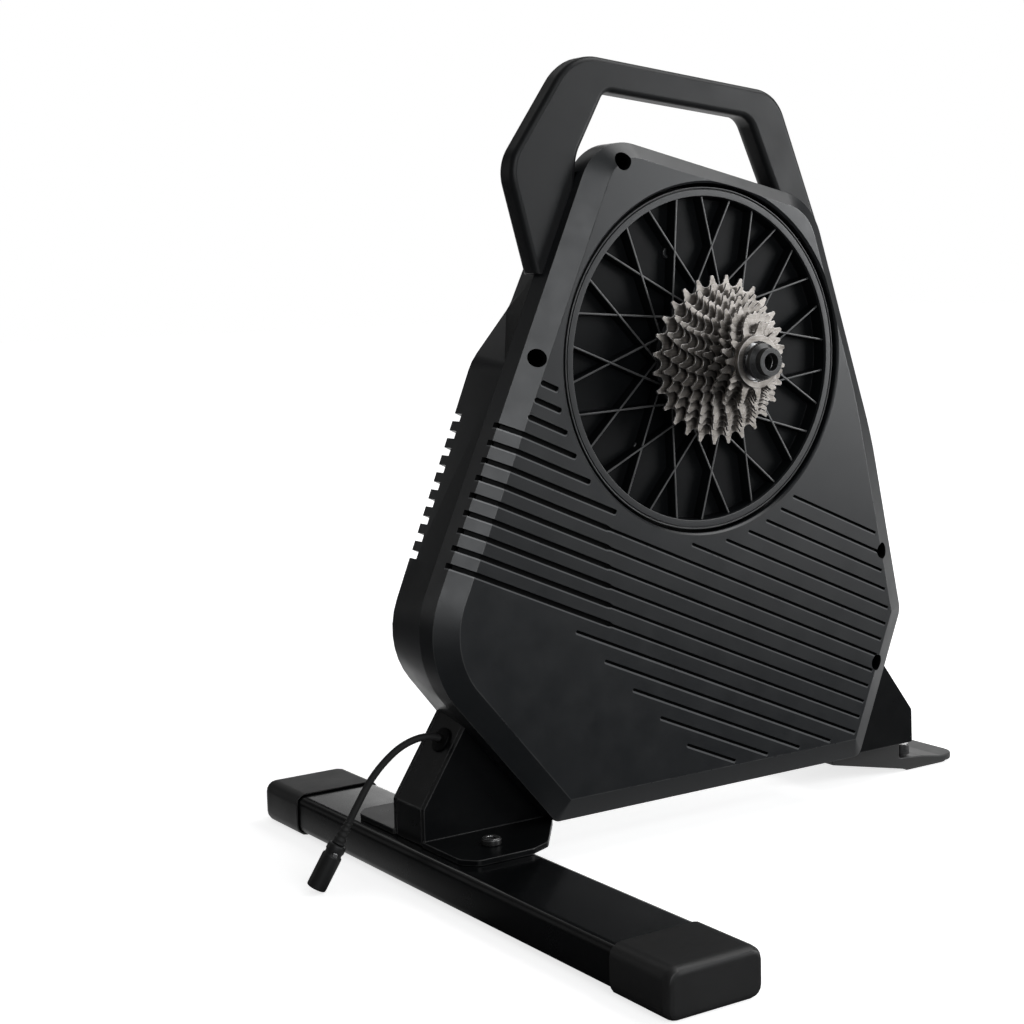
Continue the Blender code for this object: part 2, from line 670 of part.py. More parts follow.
def build_drive_side_cover(handle_space):
    cover = loft("drive_side_cover", drive_cover_sections(0, SEAM_FRONT), "cover_plastic")
    hollow = loft("drive_cover_hollow", drive_cover_sections(COVER_WALL, SEAM_FRONT + OVERCUT))
    combine(cover, [hollow])
    shell_limit = loft("drive_cover_limit", drive_cover_sections(GAP, SEAM_FRONT))
    boss_radius = SCREW_WELL_RADIUS + SCREW_WELL_WALL
    bosses = [upright_plate(f"screw_boss_{i}", [circle(boss_radius, 10, spot)], COVER_WALL / 2, SEAM_FRONT)
              for i, spot in enumerate(SCREW_WELLS)]
    for boss in bosses:
        combine(boss, [shell_limit], "INTERSECT")
    combine(cover, bosses, "UNION")
    wells = upright_plate("screw_wells", [circle(SCREW_WELL_RADIUS, 12, spot) for spot in SCREW_WELLS],
                          -OVERCUT, SCREW_WELL_DEPTH)
    lip_radius = OPENING_RADIUS + OPENING_LIP
    opening = turned("cover_opening", [
        (0, DRIVE_COVER_DEPTH), (OPENING_RADIUS, DRIVE_COVER_DEPTH), (OPENING_RADIUS, OPENING_LIP),
        (lip_radius, 0), (lip_radius, -OVERCUT), (0, -OVERCUT),
    ], steps=64)
    grooves = upright_plate("drive_slat_grooves", drive_slats(), -OVERCUT, DRIVE_COVER_DEPTH / 2)
    combine(grooves, [loft("drive_slat_floor", drive_cover_sections(SLAT_DEPTH, DRIVE_COVER_DEPTH))])
    combine(cover, [wells, opening, grooves, handle_space])


def build_flywheel_side_cover(handle_space):
    cover = loft("flywheel_side_cover", housing_sections(0, SEAM_BACK), "cover_plastic")
    hollow = loft("housing_hollow", housing_sections(COVER_WALL, SEAM_BACK - LAP))
    groove_front = HOUSING_INNER - FAR_BEVEL_DEPTH * 2
    grooves = upright_plate("housing_slat_grooves", housing_slats(), groove_front, HOUSING_DEPTH + OVERCUT)
    combine(grooves, [loft("housing_slat_floor", housing_sections(SIDE_SLAT_DEPTH, SEAM_BACK))])
    legs = upright_plate("chassis_clearance", [chassis_outline(RUNNING_GAP)], SEAM_BACK - LAP, HOUSING_INNER)
    axle_hole = disc("axle_hole", FAR_CAP_RADIUS + RUNNING_GAP, HOUSING_INNER - OVERCUT,
                     HOUSING_DEPTH + OVERCUT)
    combine(cover, [hollow, grooves, legs, axle_hole, handle_space])


def build_handle():
    sections = [(HANDLE_FRONT + depth, handle_outline(outer, inner))
                for depth, outer, inner in HANDLE_ROUNDING]
    loft("carry_handle", sections, "handle_plastic")


def rib_quads(hand):
    """Plan of the ribs that lean one way, each from the hub flange to the rim."""
    quads = []
    for k in range(RIB_PAIRS):
        angle = RIB_START + 2 * math.pi * k / RIB_PAIRS
        far_angle = angle + hand * RIB_SPREAD
        inner = Vector((math.cos(angle), math.sin(angle))) * (PULLEY_HUB_RADIUS - RIB_WIDTH)
        outer = Vector((math.cos(far_angle), math.sin(far_angle))) * (PULLEY_RIM_INNER + RIB_WIDTH)
        along = (outer - inner).normalized() * (RIB_WIDTH / 2)
        side = Vector((-along.y, along.x))
        quads.append([inner - side, outer - side, outer + side, inner + side])
    return quads


def build_pulley(axis):
    web_back = PULLEY_WEB_FRONT + PULLEY_WEB_THICKNESS
    bore = HUB_BEARING_RADIUS + GAP
    seat_front, seat_back = PULLEY_FRONT + PULLEY_FLANGE_WIDTH, PULLEY_BACK - PULLEY_FLANGE_WIDTH
    pulley = turned("drive_pulley", [
        (PULLEY_FLANGE_RADIUS, PULLEY_BACK), (PULLEY_FLANGE_RADIUS, seat_back), (BELT_SEAT_RADIUS, seat_back),
        (BELT_SEAT_RADIUS, seat_front), (PULLEY_FLANGE_RADIUS, seat_front),
        (PULLEY_FLANGE_RADIUS, PULLEY_FRONT), (PULLEY_RIM_INNER, PULLEY_FRONT),
        (PULLEY_RIM_INNER, PULLEY_WEB_FRONT),
        (PULLEY_HUB_RADIUS, PULLEY_WEB_FRONT), (PULLEY_HUB_RADIUS, RIB_FRONT),
        (PULLEY_BOSS_RADIUS, RIB_FRONT), (PULLEY_BOSS_RADIUS, PULLEY_FRONT), (bore, PULLEY_FRONT),
        (bore, PULLEY_BACK), (PULLEY_BOSS_RADIUS, PULLEY_BACK), (PULLEY_BOSS_RADIUS, web_back),
        (PULLEY_RIM_INNER, web_back), (PULLEY_RIM_INNER, PULLEY_BACK),
    ], "pulley_plastic", steps=40, parent=axis)
    ribs = []
    for side, hand, step in (("left", 1, RIB_STEP), ("right", -1, RIB_STEP * 2)):
        front, back = RIB_FRONT + step, PULLEY_WEB_FRONT + LAP + step
        ribs.append(upright_plate(f"pulley_ribs_{side}", rib_quads(hand), front, back))
    combine(pulley, ribs, "UNION")


def build_hub():
    ring("hub_axle", AXLE_BORE, AXLE_RADIUS, AXLE_TUBE_FRONT, AXLE_TUBE_BACK, "steel", steps=24)
    bearing_fronts = {
        "hub_bearing_near": (PULLEY_FRONT + BEARING_RECESS, HUB_BEARING_RADIUS),
        "hub_bearing_far": (PULLEY_BACK - BEARING_RECESS - BEARING_WIDTH, HUB_BEARING_RADIUS),
        "freehub_bearing_near": (freehub_front() + BEARING_RECESS, BEARING_RADIUS),
        "freehub_bearing_far": (FREEHUB_BACK - BEARING_RECESS - BEARING_WIDTH, BEARING_RADIUS),
    }
    for name, (front, radius) in bearing_fronts.items():
        ring(name, AXLE_RADIUS + GAP, radius, front, front + BEARING_WIDTH, "steel", steps=16)
    seat = AXLE_RADIUS + GAP
    shoulder_back = lockring_front() - AXLE_CAP_STANDOFF
    shoulder_front = shoulder_back - AXLE_CAP_LAND
    turned("axle_end_cap_drive_side", [
        (AXLE_CAP_SHOULDER, shoulder_back), (AXLE_CAP_SHOULDER, shoulder_front),
        (AXLE_CAP_RADIUS, shoulder_front - AXLE_CAP_CONE), (AXLE_CAP_RADIUS, AXLE_NEAR_END),
        (AXLE_BORE, AXLE_NEAR_END), (AXLE_BORE, AXLE_TUBE_FRONT - GAP), (seat, AXLE_TUBE_FRONT - GAP),
        (seat, shoulder_back),
    ], "black_steel", steps=24)
    cap_front = HOUSING_INNER + RUNNING_GAP
    turned("axle_end_cap_flywheel_side", [
        (FAR_CAP_RADIUS, AXLE_FAR_END), (FAR_CAP_RADIUS, cap_front), (seat, cap_front),
        (seat, AXLE_TUBE_BACK + GAP), (AXLE_BORE, AXLE_TUBE_BACK + GAP), (AXLE_BORE, AXLE_FAR_END),
    ], "black_steel", steps=24)


def sprocket_depth(index):
    return LARGEST_SPROCKET_DEPTH - SPROCKET_SPACING * index


def freehub_front():
    return sprocket_depth(len(SPROCKET_TEETH) - 1) - SPROCKET_THICKNESS / 2


def lockring_front():
    return freehub_front() - GAP - LOCKRING_WIDTH


def sprocket_outline(teeth):
    """Toothed outline: a seat for the roller at the root, and flanks that narrow to the tip."""
    pitch_radius = CHAIN_PITCH / (2 * math.sin(math.pi / teeth))
    root, tip = pitch_radius - TOOTH_ROOT_DROP, pitch_radius + TOOTH_TIP_RISE
    tooth = [(-0.17, root), (0.17, root), (0.50, tip)]
    outline = []
    for k in range(teeth):
        for share, radius in tooth:
            angle = 2 * math.pi * (k + share) / teeth
            outline.append((radius * math.cos(angle), radius * math.sin(angle)))
    return outline


def build_cassette(axis):
    front, bore = freehub_front(), BEARING_RADIUS + GAP
    flange_front = LARGEST_SPROCKET_DEPTH + SPROCKET_THICKNESS / 2 + GAP
    flange_back = flange_front + FREEHUB_FLANGE_WIDTH
    turned("freehub_body", [
        (FREEHUB_NECK_RADIUS, FREEHUB_BACK), (FREEHUB_NECK_RADIUS, flange_back + FREEHUB_CONE),
        (FREEHUB_FLANGE_RADIUS, flange_back), (FREEHUB_FLANGE_RADIUS, flange_front),
        (FREEHUB_RADIUS, flange_front), (FREEHUB_RADIUS, front), (bore, front), (bore, FREEHUB_BACK),
    ], "black_steel", steps=16, parent=axis)
    for index, teeth in enumerate(SPROCKET_TEETH):
        depth = sprocket_depth(index)
        outlines = [sprocket_outline(teeth), circle(FREEHUB_RADIUS + GAP, 16)]
        sprocket = upright_plate(f"sprocket_{teeth}_tooth", outlines, depth - SPROCKET_THICKNESS / 2,
                                 depth + SPROCKET_THICKNESS / 2, "cassette_steel", parent=axis)
        if index < len(SPROCKET_TEETH) - 1:
            spacer_front = depth - SPROCKET_SPACING + SPROCKET_THICKNESS / 2 + GAP
            outlines = [circle(SPACER_RADIUS, 16), circle(FREEHUB_RADIUS + GAP, 16)]
            spacer = upright_plate(f"spacer_{index}", outlines, spacer_front, depth)
            combine(sprocket, [spacer], "UNION")
    ring("cassette_lockring", LOCKRING_BORE, LOCKRING_RADIUS, lockring_front(), front - GAP,
         "cassette_steel", steps=24, parent=axis)


def build_flywheel(axis):
    bore = SHAFT_RADIUS + GAP
    rim_inner = FLYWHEEL_RADIUS - FLYWHEEL_RIM
    web_back = FLYWHEEL_FRONT + FLYWHEEL_WEB
    hub_back = FLYWHEEL_FRONT + FLYWHEEL_HUB_WIDTH
    face_radius = FLYWHEEL_RADIUS - FLYWHEEL_CHAMFER
    turned("flywheel", [
        (FLYWHEEL_RADIUS, FLYWHEEL_BACK - FLYWHEEL_CHAMFER),
        (FLYWHEEL_RADIUS, FLYWHEEL_FRONT + FLYWHEEL_CHAMFER), (face_radius, FLYWHEEL_FRONT),
        (bore, FLYWHEEL_FRONT), (bore, hub_back), (FLYWHEEL_HUB_RADIUS, hub_back),
        (FLYWHEEL_HUB_RADIUS, web_back), (rim_inner, web_back), (rim_inner, FLYWHEEL_BACK),
        (face_radius, FLYWHEEL_BACK),
    ], "cast_iron", steps=32, parent=axis)
    belt_front = PULLEY_FRONT + PULLEY_FLANGE_WIDTH
    disc("flywheel_shaft", SHAFT_RADIUS, belt_front + GAP, FAR_PLATE_BACK, "steel", steps=20, parent=axis)
    ring("flywheel_pulley", bore, DRIVEN_PULLEY_RADIUS, belt_front, PULLEY_BACK - PULLEY_FLANGE_WIDTH,
         "steel", steps=20, parent=axis)
    near_front = (NEAR_PLATE_FRONT + NEAR_PLATE_BACK - BEARING_WIDTH) / 2
    far_front = FAR_PLATE_BACK - BEARING_WIDTH
    for name, front in (("flywheel_bearing_near", near_front), ("flywheel_bearing_far", far_front)):
        ring(name, bore, HUB_BEARING_RADIUS, front, front + BEARING_WIDTH, "steel", FLYWHEEL_AXIS, 16)


def build_brake():
    """Poles and coils that stand on the far chassis plate inside the flywheel's rim."""
    inner, outer = STATOR_RING
    back = FAR_PLATE_FRONT - GAP
    ring_front = FLYWHEEL_FRONT + FLYWHEEL_HUB_WIDTH + STATOR_GAP
    pole_tip = FLYWHEEL_RADIUS - FLYWHEEL_RIM - POLE_TIP_GAP
    pole_depth = (FLYWHEEL_FRONT + FLYWHEEL_WEB + FAR_PLATE_FRONT) / 2
    stator = ring("brake_stator", inner, outer, ring_front, back, "steel", FLYWHEEL_AXIS, 24)
    coil_inner, coil_outer = COIL_SPAN
    length = pole_tip - outer + POLE_ROOT
    for k in range(POLE_COUNT):
        angle = 2 * math.pi * k / POLE_COUNT
        reach = pole_tip - length / 2
        centre = (FLYWHEEL_X + reach * math.cos(angle), pole_depth, FLYWHEEL_Z + reach * math.sin(angle))
        pole = block(f"brake_pole_{k}", (length, POLE_DEPTH, POLE_WIDTH), centre, turn=-angle)
        combine(stator, [pole], "UNION")
        reach = (coil_inner + coil_outer) / 2
        centre = (FLYWHEEL_X + reach * math.cos(angle), pole_depth, FLYWHEEL_Z + reach * math.sin(angle))
        wide, deep = POLE_WIDTH / 2 + GAP, POLE_DEPTH / 2 + GAP
        outside = box_corners(wide + COIL_WALL, deep + COIL_WALL, COIL_CORNER)
        hole = box_corners(wide, deep, GAP / 2)
        flat_solid(f"brake_coil_{k + 1}", [rounded(outside), rounded(hole)], coil_outer - coil_inner,
                   "copper", centre, coil_rotation(angle))


def box_corners(half_width, half_height, radius, centre=(0, 0)):
    """Clockwise corners of a rectangle about a centre."""
    x, y = centre
    return [(x - half_width, y + half_height, radius), (x + half_width, y + half_height, radius),
            (x + half_width, y - half_height, radius), (x - half_width, y - half_height, radius)]


def coil_rotation(angle):
    """Rotation that stands a flat coil across a pole at a given angle about the flywheel's axis."""
    radial = Vector((math.cos(angle), 0, math.sin(angle)))
    depth = Vector((0, 1, 0))
    across = depth.cross(radial)
    return Matrix((across, depth, radial)).transposed().to_euler()


def belt_normals():
    """Unit normals of the belt's two straight runs, the rear one first."""
    centres = Vector(FLYWHEEL_AXIS)
    line = centres.normalized()
    lean = (BELT_SEAT_RADIUS - DRIVEN_PULLEY_RADIUS) / centres.length
    across = Vector((line.y, -line.x)) * math.sqrt(1 - lean * lean)
    return line * lean + across, line * lean - across


def belt_loop(clearance):
    """Closed loop round both pulleys at a clearance from their seats."""
    rear, front = belt_normals()
    large, small = BELT_SEAT_RADIUS + clearance, DRIVEN_PULLEY_RADIUS + clearance
    sweep_large = 2 * math.pi - front.angle(rear)
    sweep_small = front.angle(rear)
    turn = math.copysign(1.0, front.cross(rear))
    points = [Matrix.Rotation(-turn * sweep_large * k / BELT_ARC_STEPS, 2) @ front * large
              for k in range(BELT_ARC_STEPS + 1)]
    centre = Vector(FLYWHEEL_AXIS)
    points += [centre + Matrix.Rotation(-turn * sweep_small * k / BELT_SMALL_ARC_STEPS, 2) @ rear * small
               for k in range(BELT_SMALL_ARC_STEPS + 1)]
    return points


def idler_centre():
    """Centre of the idler on the belt's rear run, and the run's outward normal."""
    normal, _ = belt_normals()
    on_large = normal * BELT_SEAT_RADIUS
    on_small = Vector(FLYWHEEL_AXIS) + normal * DRIVEN_PULLEY_RADIUS
    reach = BELT_CLEARANCE * 2 + BELT_THICKNESS + IDLER_RADIUS
    return on_large.lerp(on_small, IDLER_SHARE) + normal * reach, normal


def build_belt():
    middle = (PULLEY_FRONT + PULLEY_BACK) / 2
    belt_front, belt_back = middle - BELT_WIDTH / 2, middle + BELT_WIDTH / 2
    loops = [belt_loop(BELT_CLEARANCE + BELT_THICKNESS), belt_loop(BELT_CLEARANCE)]
    upright_plate("drive_belt", loops, belt_front, belt_back, "rubber")
    centre, normal = idler_centre()
    axis = turning_axis("idler_axis", centre.x, centre.y)
    ring("belt_idler", IDLER_PIN_RADIUS + RUNNING_GAP, IDLER_RADIUS, belt_front, belt_back, "steel", steps=24,
         parent=axis)
    arm_back = NEAR_PLATE_FRONT - GAP
    arm_front = arm_back - ARM_THICKNESS
    end = centre + normal * ARM_LENGTH
    side = Vector((-normal.y, normal.x)) * ARM_RADIUS
    start = centre - normal * ARM_RADIUS
    corners = [(p.x, p.y, ARM_CORNER) for p in (start + side, end + side, end - side, start - side)]
    steps = [ARM_CORNER_STEPS] * len(corners)
    arm = upright_plate("idler_arm", [rounded(corners, steps)], arm_front, arm_back, "black_steel")
    pin = disc("idler_pin", IDLER_PIN_RADIUS, belt_front - PIN_PROUD, arm_front + LAP, centre=centre,
               steps=16)
    combine(arm, [pin], "UNION")


def mirrored_depth(y):
    return 2 * CHASSIS_MIDDLE - y


def rear_flange(near):
    """Plan of the foot flange of one plate, clockwise, with its inner edge inside the plate."""
    inner = NEAR_PLATE_FRONT + PLATE_THICKNESS / 2
    corners = [(FLANGE_ENDS[0], inner, SHARP_CORNER), *FLANGE_CORNERS, (FLANGE_ENDS[1], inner, SHARP_CORNER)]
    if near:
        return rounded(corners)
    return rounded([(x, mirrored_depth(y), radius) for x, y, radius in reversed(corners)])


def chassis_bolt(name, spot, head_bottom, tip, head_height=BOLT_HEAD_HEIGHT):
    """Upright bolt with its head at a height from the hub."""
    profile = [(0, head_bottom + head_height), (BOLT_HEAD_RADIUS, head_bottom + head_height),
               (BOLT_HEAD_RADIUS, head_bottom), (BOLT_RADIUS, head_bottom), (BOLT_RADIUS, tip), (0, tip)]
    turned(name, profile, "black_steel", steps=12, location=(*spot, 0), rotation=(0, 0, 0))


def bar_bolt_spots():
    return {"bar_bolt_near": REAR_BOLT, "bar_bolt_far": (REAR_BOLT[0], mirrored_depth(REAR_BOLT[1]))}


def build_chassis():
    holes = [circle(AXLE_RADIUS + GAP, 24), circle(HUB_BEARING_RADIUS + GAP, 16, FLYWHEEL_AXIS)]
    spots = bar_bolt_spots()
    plates = (
        ("chassis_plate_drive_side", NEAR_PLATE_FRONT, NEAR_PLATE_BACK, spots["bar_bolt_near"]),
        ("chassis_plate_flywheel_side", FAR_PLATE_FRONT, FAR_PLATE_BACK, spots["bar_bolt_far"]),
    )
    for name, front, back, bolt in plates:
        plate = upright_plate(name, [chassis_outline(), *holes], front, back, "chassis_paint")
        bolt_hole = circle(BOLT_RADIUS + GAP, 12, bolt)
        flange = level_plate(name + "_flange", [rear_flange(front == NEAR_PLATE_FRONT), bolt_hole],
                             LEG_BOTTOM, FLANGE_TOP)
        combine(plate, [flange], "UNION")
    for name, spot in spots.items():
        chassis_bolt(name, spot, FLANGE_TOP + GAP, BAR_TOP - BAR_WALL - BOLT_RADIUS)
    for index, (x, z) in enumerate(SPACER_BARS):
        disc(f"chassis_spacer_{index + 1}", SPACER_BAR_RADIUS, NEAR_PLATE_BACK + GAP, FAR_PLATE_FRONT - GAP,
             "steel", (x, z), 16)
    cross = [(FRONT_LEG_REAR_X, FAR_PLATE_FRONT - GAP), (FRONT_LEG_FRONT_X, FAR_PLATE_FRONT - GAP),
             (FRONT_LEG_FRONT_X, NEAR_PLATE_BACK + GAP), (FRONT_LEG_REAR_X, NEAR_PLATE_BACK + GAP)]
    bolt_hole = circle(BOLT_RADIUS + GAP, 12, FOOT_BOLT)
    level_plate("front_cross_plate", [cross, bolt_hole], LEG_BOTTOM, FLANGE_TOP, "chassis_paint")


def web_frame():
    """The rear web's lean: the way up along it and the way out of the chassis."""
    up = (Vector(REAR_LEG_UPPER) - Vector(REAR_LEG_SHOULDER)).normalized()
    return up, Vector((-up.y, up.x))


def cable_hole_centre():
    up, outward = web_frame()
    spot = Vector(REAR_LEG_SHOULDER) + up * CABLE_HOLE_RISE
    return Vector((spot.x, CABLE_HOLE_DEPTH, spot.y)), Vector((outward.x, 0, outward.y))


def build_rear_web():
    up, outward = web_frame()
    foot, shoulder = Vector((REAR_LEG_X, LEG_BOTTOM)), Vector(REAR_LEG_SHOULDER)
    top = Vector(REAR_LEG_UPPER) - up * PLATE_THICKNESS
    side = Vector((1, 0))
    bend = (side - outward) / (1 - side.dot(outward))
    outline = [foot, shoulder, top, top - outward * PLATE_THICKNESS, shoulder + bend * PLATE_THICKNESS,
               foot + side * PLATE_THICKNESS]
    web = upright_plate("rear_web", [outline], NEAR_PLATE_BACK + GAP, FAR_PLATE_FRONT - GAP, "chassis_paint")
    centre, direction = cable_hole_centre()
    rotation = direction.to_track_quat("Z", "Y").to_euler()
    hole = turned("cable_hole", [
        (0, OVERCUT), (CABLE_HOLE_RADIUS, OVERCUT), (CABLE_HOLE_RADIUS, -OVERCUT), (0, -OVERCUT),
    ], steps=24, location=centre, rotation=rotation)
    combine(web, [hole])
    back = -PLATE_THICKNESS - GAP
    bore, neck = LEAD_RADIUS + GAP * 2, CABLE_HOLE_RADIUS - GAP
    flange_top = GAP + GROMMET_FLANGE
    turned("cable_grommet", [
        (neck, flange_top + GROMMET_LIP), (GROMMET_RADIUS, flange_top), (GROMMET_RADIUS, GAP), (neck, GAP),
        (neck, back), (GROMMET_RADIUS, back), (GROMMET_RADIUS, back - GROMMET_FLANGE),
        (bore, back - GROMMET_FLANGE), (bore, flange_top + GROMMET_LIP),
    ], "rubber", steps=16, location=centre, rotation=rotation)


def smooth_points(bends, spacing):
    """Evenly spaced points of a smooth curve through the bends."""
    ends = [bends[0] * 2 - bends[1], *bends, bends[-1] * 2 - bends[-2]]
    fine = []
    for a, b, c, d in zip(ends, ends[1:], ends[2:], ends[3:]):
        for step in range(20):
            t = step / 20
            fine.append((b * 2 + (c - a) * t + (a * 2 - b * 5 + c * 4 - d) * t * t
                         + (b * 3 - a - c * 3 + d) * t ** 3) / 2)
    fine.append(bends[-1])
    lengths = [0.0]
    for a, b in zip(fine, fine[1:]):
        lengths.append(lengths[-1] + (b - a).length)
    count = max(2, round(lengths[-1] / spacing))
    points = []
    for k in range(count + 1):
        target = lengths[-1] * k / count
        i = min(range(len(fine)), key=lambda n: abs(lengths[n] - target))
        points.append(fine[i])
    return points


def build_lead():
    """Power lead from the rear web to the plug, whose end leans on the floor."""
    tilt = Vector(PLUG_TILT).normalized()
    edge_drop = PLUG_RADIUS * math.sqrt(1 - tilt.z ** 2)
    plug_end = Vector((*PLUG_TIP, FLOOR + edge_drop))
    plug_start = plug_end - tilt * PLUG_LENGTH
    relief_start = plug_start - tilt * (RELIEF_LENGTH + GAP)
    hole, outward = cable_hole_centre()
    bends = [hole - outward * LEAD_INSIDE, hole + outward * LEAD_STRAIGHT, *(Vector(b) for b in LEAD_BENDS),
             relief_start - tilt * GAP]
    points = smooth_points(bends, LEAD_POINT_SPACING)
    curve = bpy.data.curves.new("power_cord", "CURVE")
    curve.dimensions = "3D"
    curve.bevel_depth = LEAD_RADIUS
    curve.bevel_resolution = 2
    curve.use_fill_caps = True
    spline = curve.splines.new("POLY")
    spline.points.add(len(points) - 1)
    for point, target in zip(spline.points, points):
        point.co = (*target, 1)
    place("power_cord", curve, "rubber")
    rotation = tilt.to_track_quat("Z", "Y").to_euler()
    turned("cord_strain_relief", [
        (0, RELIEF_LENGTH), (RELIEF_RADIUS, RELIEF_LENGTH), (RELIEF_NOSE_RADIUS, 0), (0, 0),
    ], "rubber", steps=20, location=relief_start, rotation=rotation)
    socket_radius, socket_depth = PLUG_SOCKET
    socket_floor = PLUG_LENGTH - socket_depth
    turned("power_connector", [
        (0, socket_floor), (socket_radius, socket_floor), (socket_radius, PLUG_LENGTH),
        (PLUG_RADIUS, PLUG_LENGTH), (PLUG_RADIUS, PLUG_RADIUS / 2), (RELIEF_RADIUS + GAP, 0), (0, 0),
    ], "cap_plastic", steps=20, location=plug_start, rotation=rotation)


def build_base_bar():
    centre = (BAR_CENTRE_X, (BAR_TOP + BAR_BOTTOM) / 2)
    outer = box_corners(BAR_WIDTH / 2, BAR_HEIGHT / 2, BAR_CORNER, centre)
    inner = offset_corners(outer, [BAR_WALL] * 4)
    near, far = BAR_NEAR_END + CAP_END_WALL + GAP, BAR_FAR_END - CAP_END_WALL - GAP
    bar = upright_plate("base_bar", [rounded(outer), rounded(inner)], near, far, "chassis_paint")
    holes = [circle(BOLT_RADIUS + GAP, 12, spot) for spot in bar_bolt_spots().values()]
    combine(bar, [level_plate("bar_bolt_holes", holes, BAR_TOP - BAR_WALL * 2, BAR_TOP + BAR_WALL)])
    cap_top = BAR_TOP + CAP_PROUD
    cap_centre = (BAR_CENTRE_X, (cap_top + FLOOR) / 2)
    cap = box_corners(BAR_WIDTH / 2 + CAP_PROUD, (cap_top - FLOOR) / 2, CAP_CORNER, cap_centre)
    steps = [CAP_CORNER_STEPS] * len(cap)
    pocket = rounded(outer, insets=[-GAP] * 4)
    for name, end, way in (("bar_end_cap_near", BAR_NEAR_END, 1), ("bar_end_cap_far", BAR_FAR_END, -1)):
        sections = [(end + way * depth, rounded(cap, steps, [inset] * 4))
                    for depth, inset in CAP_END_ROUNDING]
        sections.append((end + way * CAP_LENGTH, rounded(cap, steps)))
        shell = loft(name, sections, "cap_plastic")
        depths = sorted((end + way * CAP_END_WALL, end + way * (CAP_LENGTH + OVERCUT)))
        combine(shell, [upright_plate(name + "_pocket", [pocket], *depths)])


def foot_plan(inset, rear):
    corners = [(FOOT_TOE_X, FOOT_NEAR_Y, FOOT_NEAR_CORNER), (rear, FOOT_NEAR_Y, SHARP_CORNER),
               (rear, FOOT_FAR_Y, SHARP_CORNER), (FOOT_TOE_X, FOOT_FAR_Y, FOOT_FAR_CORNER)]
    return rounded(corners, [6, 1, 1, 5], [inset] * 4)


def build_foot():
    """Front foot: a heel under the chassis, and a toe that lies on a rubber pad."""
    sole = FLOOR + FOOT_PAD_THICKNESS + GAP
    heel_top = LEG_BOTTOM - GAP
    toe_top = sole + FOOT_TOE_THICKNESS
    toe_end = FOOT_TOE_X + OVERCUT
    side = [(FOOT_REAR_X, heel_top, FOOT_CORNER), (FOOT_STEP_X, heel_top, FOOT_CORNER),
            (FOOT_STEP_X, FOOT_STEP_TOP, FOOT_CORNER),
            (FOOT_STEP_X + INSTEP_RUN, FOOT_STEP_TOP - INSTEP_DROP, INSTEP_CORNER),
            (FOOT_TOE_X - TOE_SLOPE_RUN, toe_top, INSTEP_CORNER), (toe_end, toe_top, SHARP_CORNER),
            (toe_end, sole, SHARP_CORNER), (FOOT_SOLE_REAR_X, sole, INSTEP_CORNER),
            (FOOT_REAR_X, heel_top - FOOT_HEEL_THICKNESS, FOOT_CORNER)]
    foot = upright_plate("front_foot", [rounded(side)], FOOT_NEAR_Y - OVERCUT, FOOT_FAR_Y + OVERCUT,
                         "cap_plastic")
    plan = level_plate("foot_plan", [foot_plan(0.0, FOOT_REAR_X - OVERCUT)], FLOOR - OVERCUT,
                       heel_top + OVERCUT)
    combine(foot, [plan], "INTERSECT")
    level_plate("front_foot_pad", [foot_plan(FOOT_PAD_INSET, FOOT_SOLE_REAR_X)], FLOOR,
                FLOOR + FOOT_PAD_THICKNESS, "rubber")
    tip = FLANGE_TOP - FOOT_BOLT_LENGTH
    bolt_hole = circle(BOLT_RADIUS + GAP, 12, FOOT_BOLT)
    combine(foot, [level_plate("foot_bolt_hole", [bolt_hole], tip - GAP, heel_top + OVERCUT)])
    chassis_bolt("foot_bolt", FOOT_BOLT, FLANGE_TOP + GAP, tip)
    toe_hole = level_plate("toe_bolt_hole", [circle(BOLT_RADIUS + GAP, 12, TOE_BOLT)],
                           FOOT_STEP_TOP - TOE_BOLT_DEPTH - GAP, heel_top + OVERCUT)
    combine(foot, [toe_hole])
    chassis_bolt("toe_bolt", TOE_BOLT, FOOT_STEP_TOP + GAP, FOOT_STEP_TOP - TOE_BOLT_DEPTH, TOE_BOLT_HEIGHT)


def build_board():
    """Control board on four posts on the near chassis plate."""
    width, thickness, height = BOARD_SIZE
    board = block("control_board", BOARD_SIZE, BOARD_CENTRE, "board")
    posts = [circle(BOARD_POST / 2, 8, (BOARD_CENTRE[0] + sx * (width / 2 - BOARD_POST),
                                        BOARD_CENTRE[2] + sz * (height / 2 - BOARD_POST)))
             for sx in (-1, 1) for sz in (-1, 1)]
    combine(board, [upright_plate("board_posts", posts, NEAR_PLATE_BACK + GAP, BOARD_CENTRE[1])], "UNION")


def main():
    handle_space = handle_clearance()
    build_drive_side_cover(handle_space)
    build_flywheel_side_cover(handle_space)
    build_handle()
    build_pulley(turning_axis("pulley_axis", 0, 0))
    build_hub()
    build_cassette(turning_axis("cassette_axis", 0, 0))
    build_flywheel(turning_axis("flywheel_axis", *FLYWHEEL_AXIS))
    build_brake()
    build_belt()
    build_chassis()
    build_rear_web()
    build_lead()
    build_base_bar()
    build_foot()
    build_board()


main()
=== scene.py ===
"""Looks of a direct-drive bike trainer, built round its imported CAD. Metres, in the CAD's own frame."""

import json
import math

import bmesh
import bpy
from mathutils import Matrix, Vector


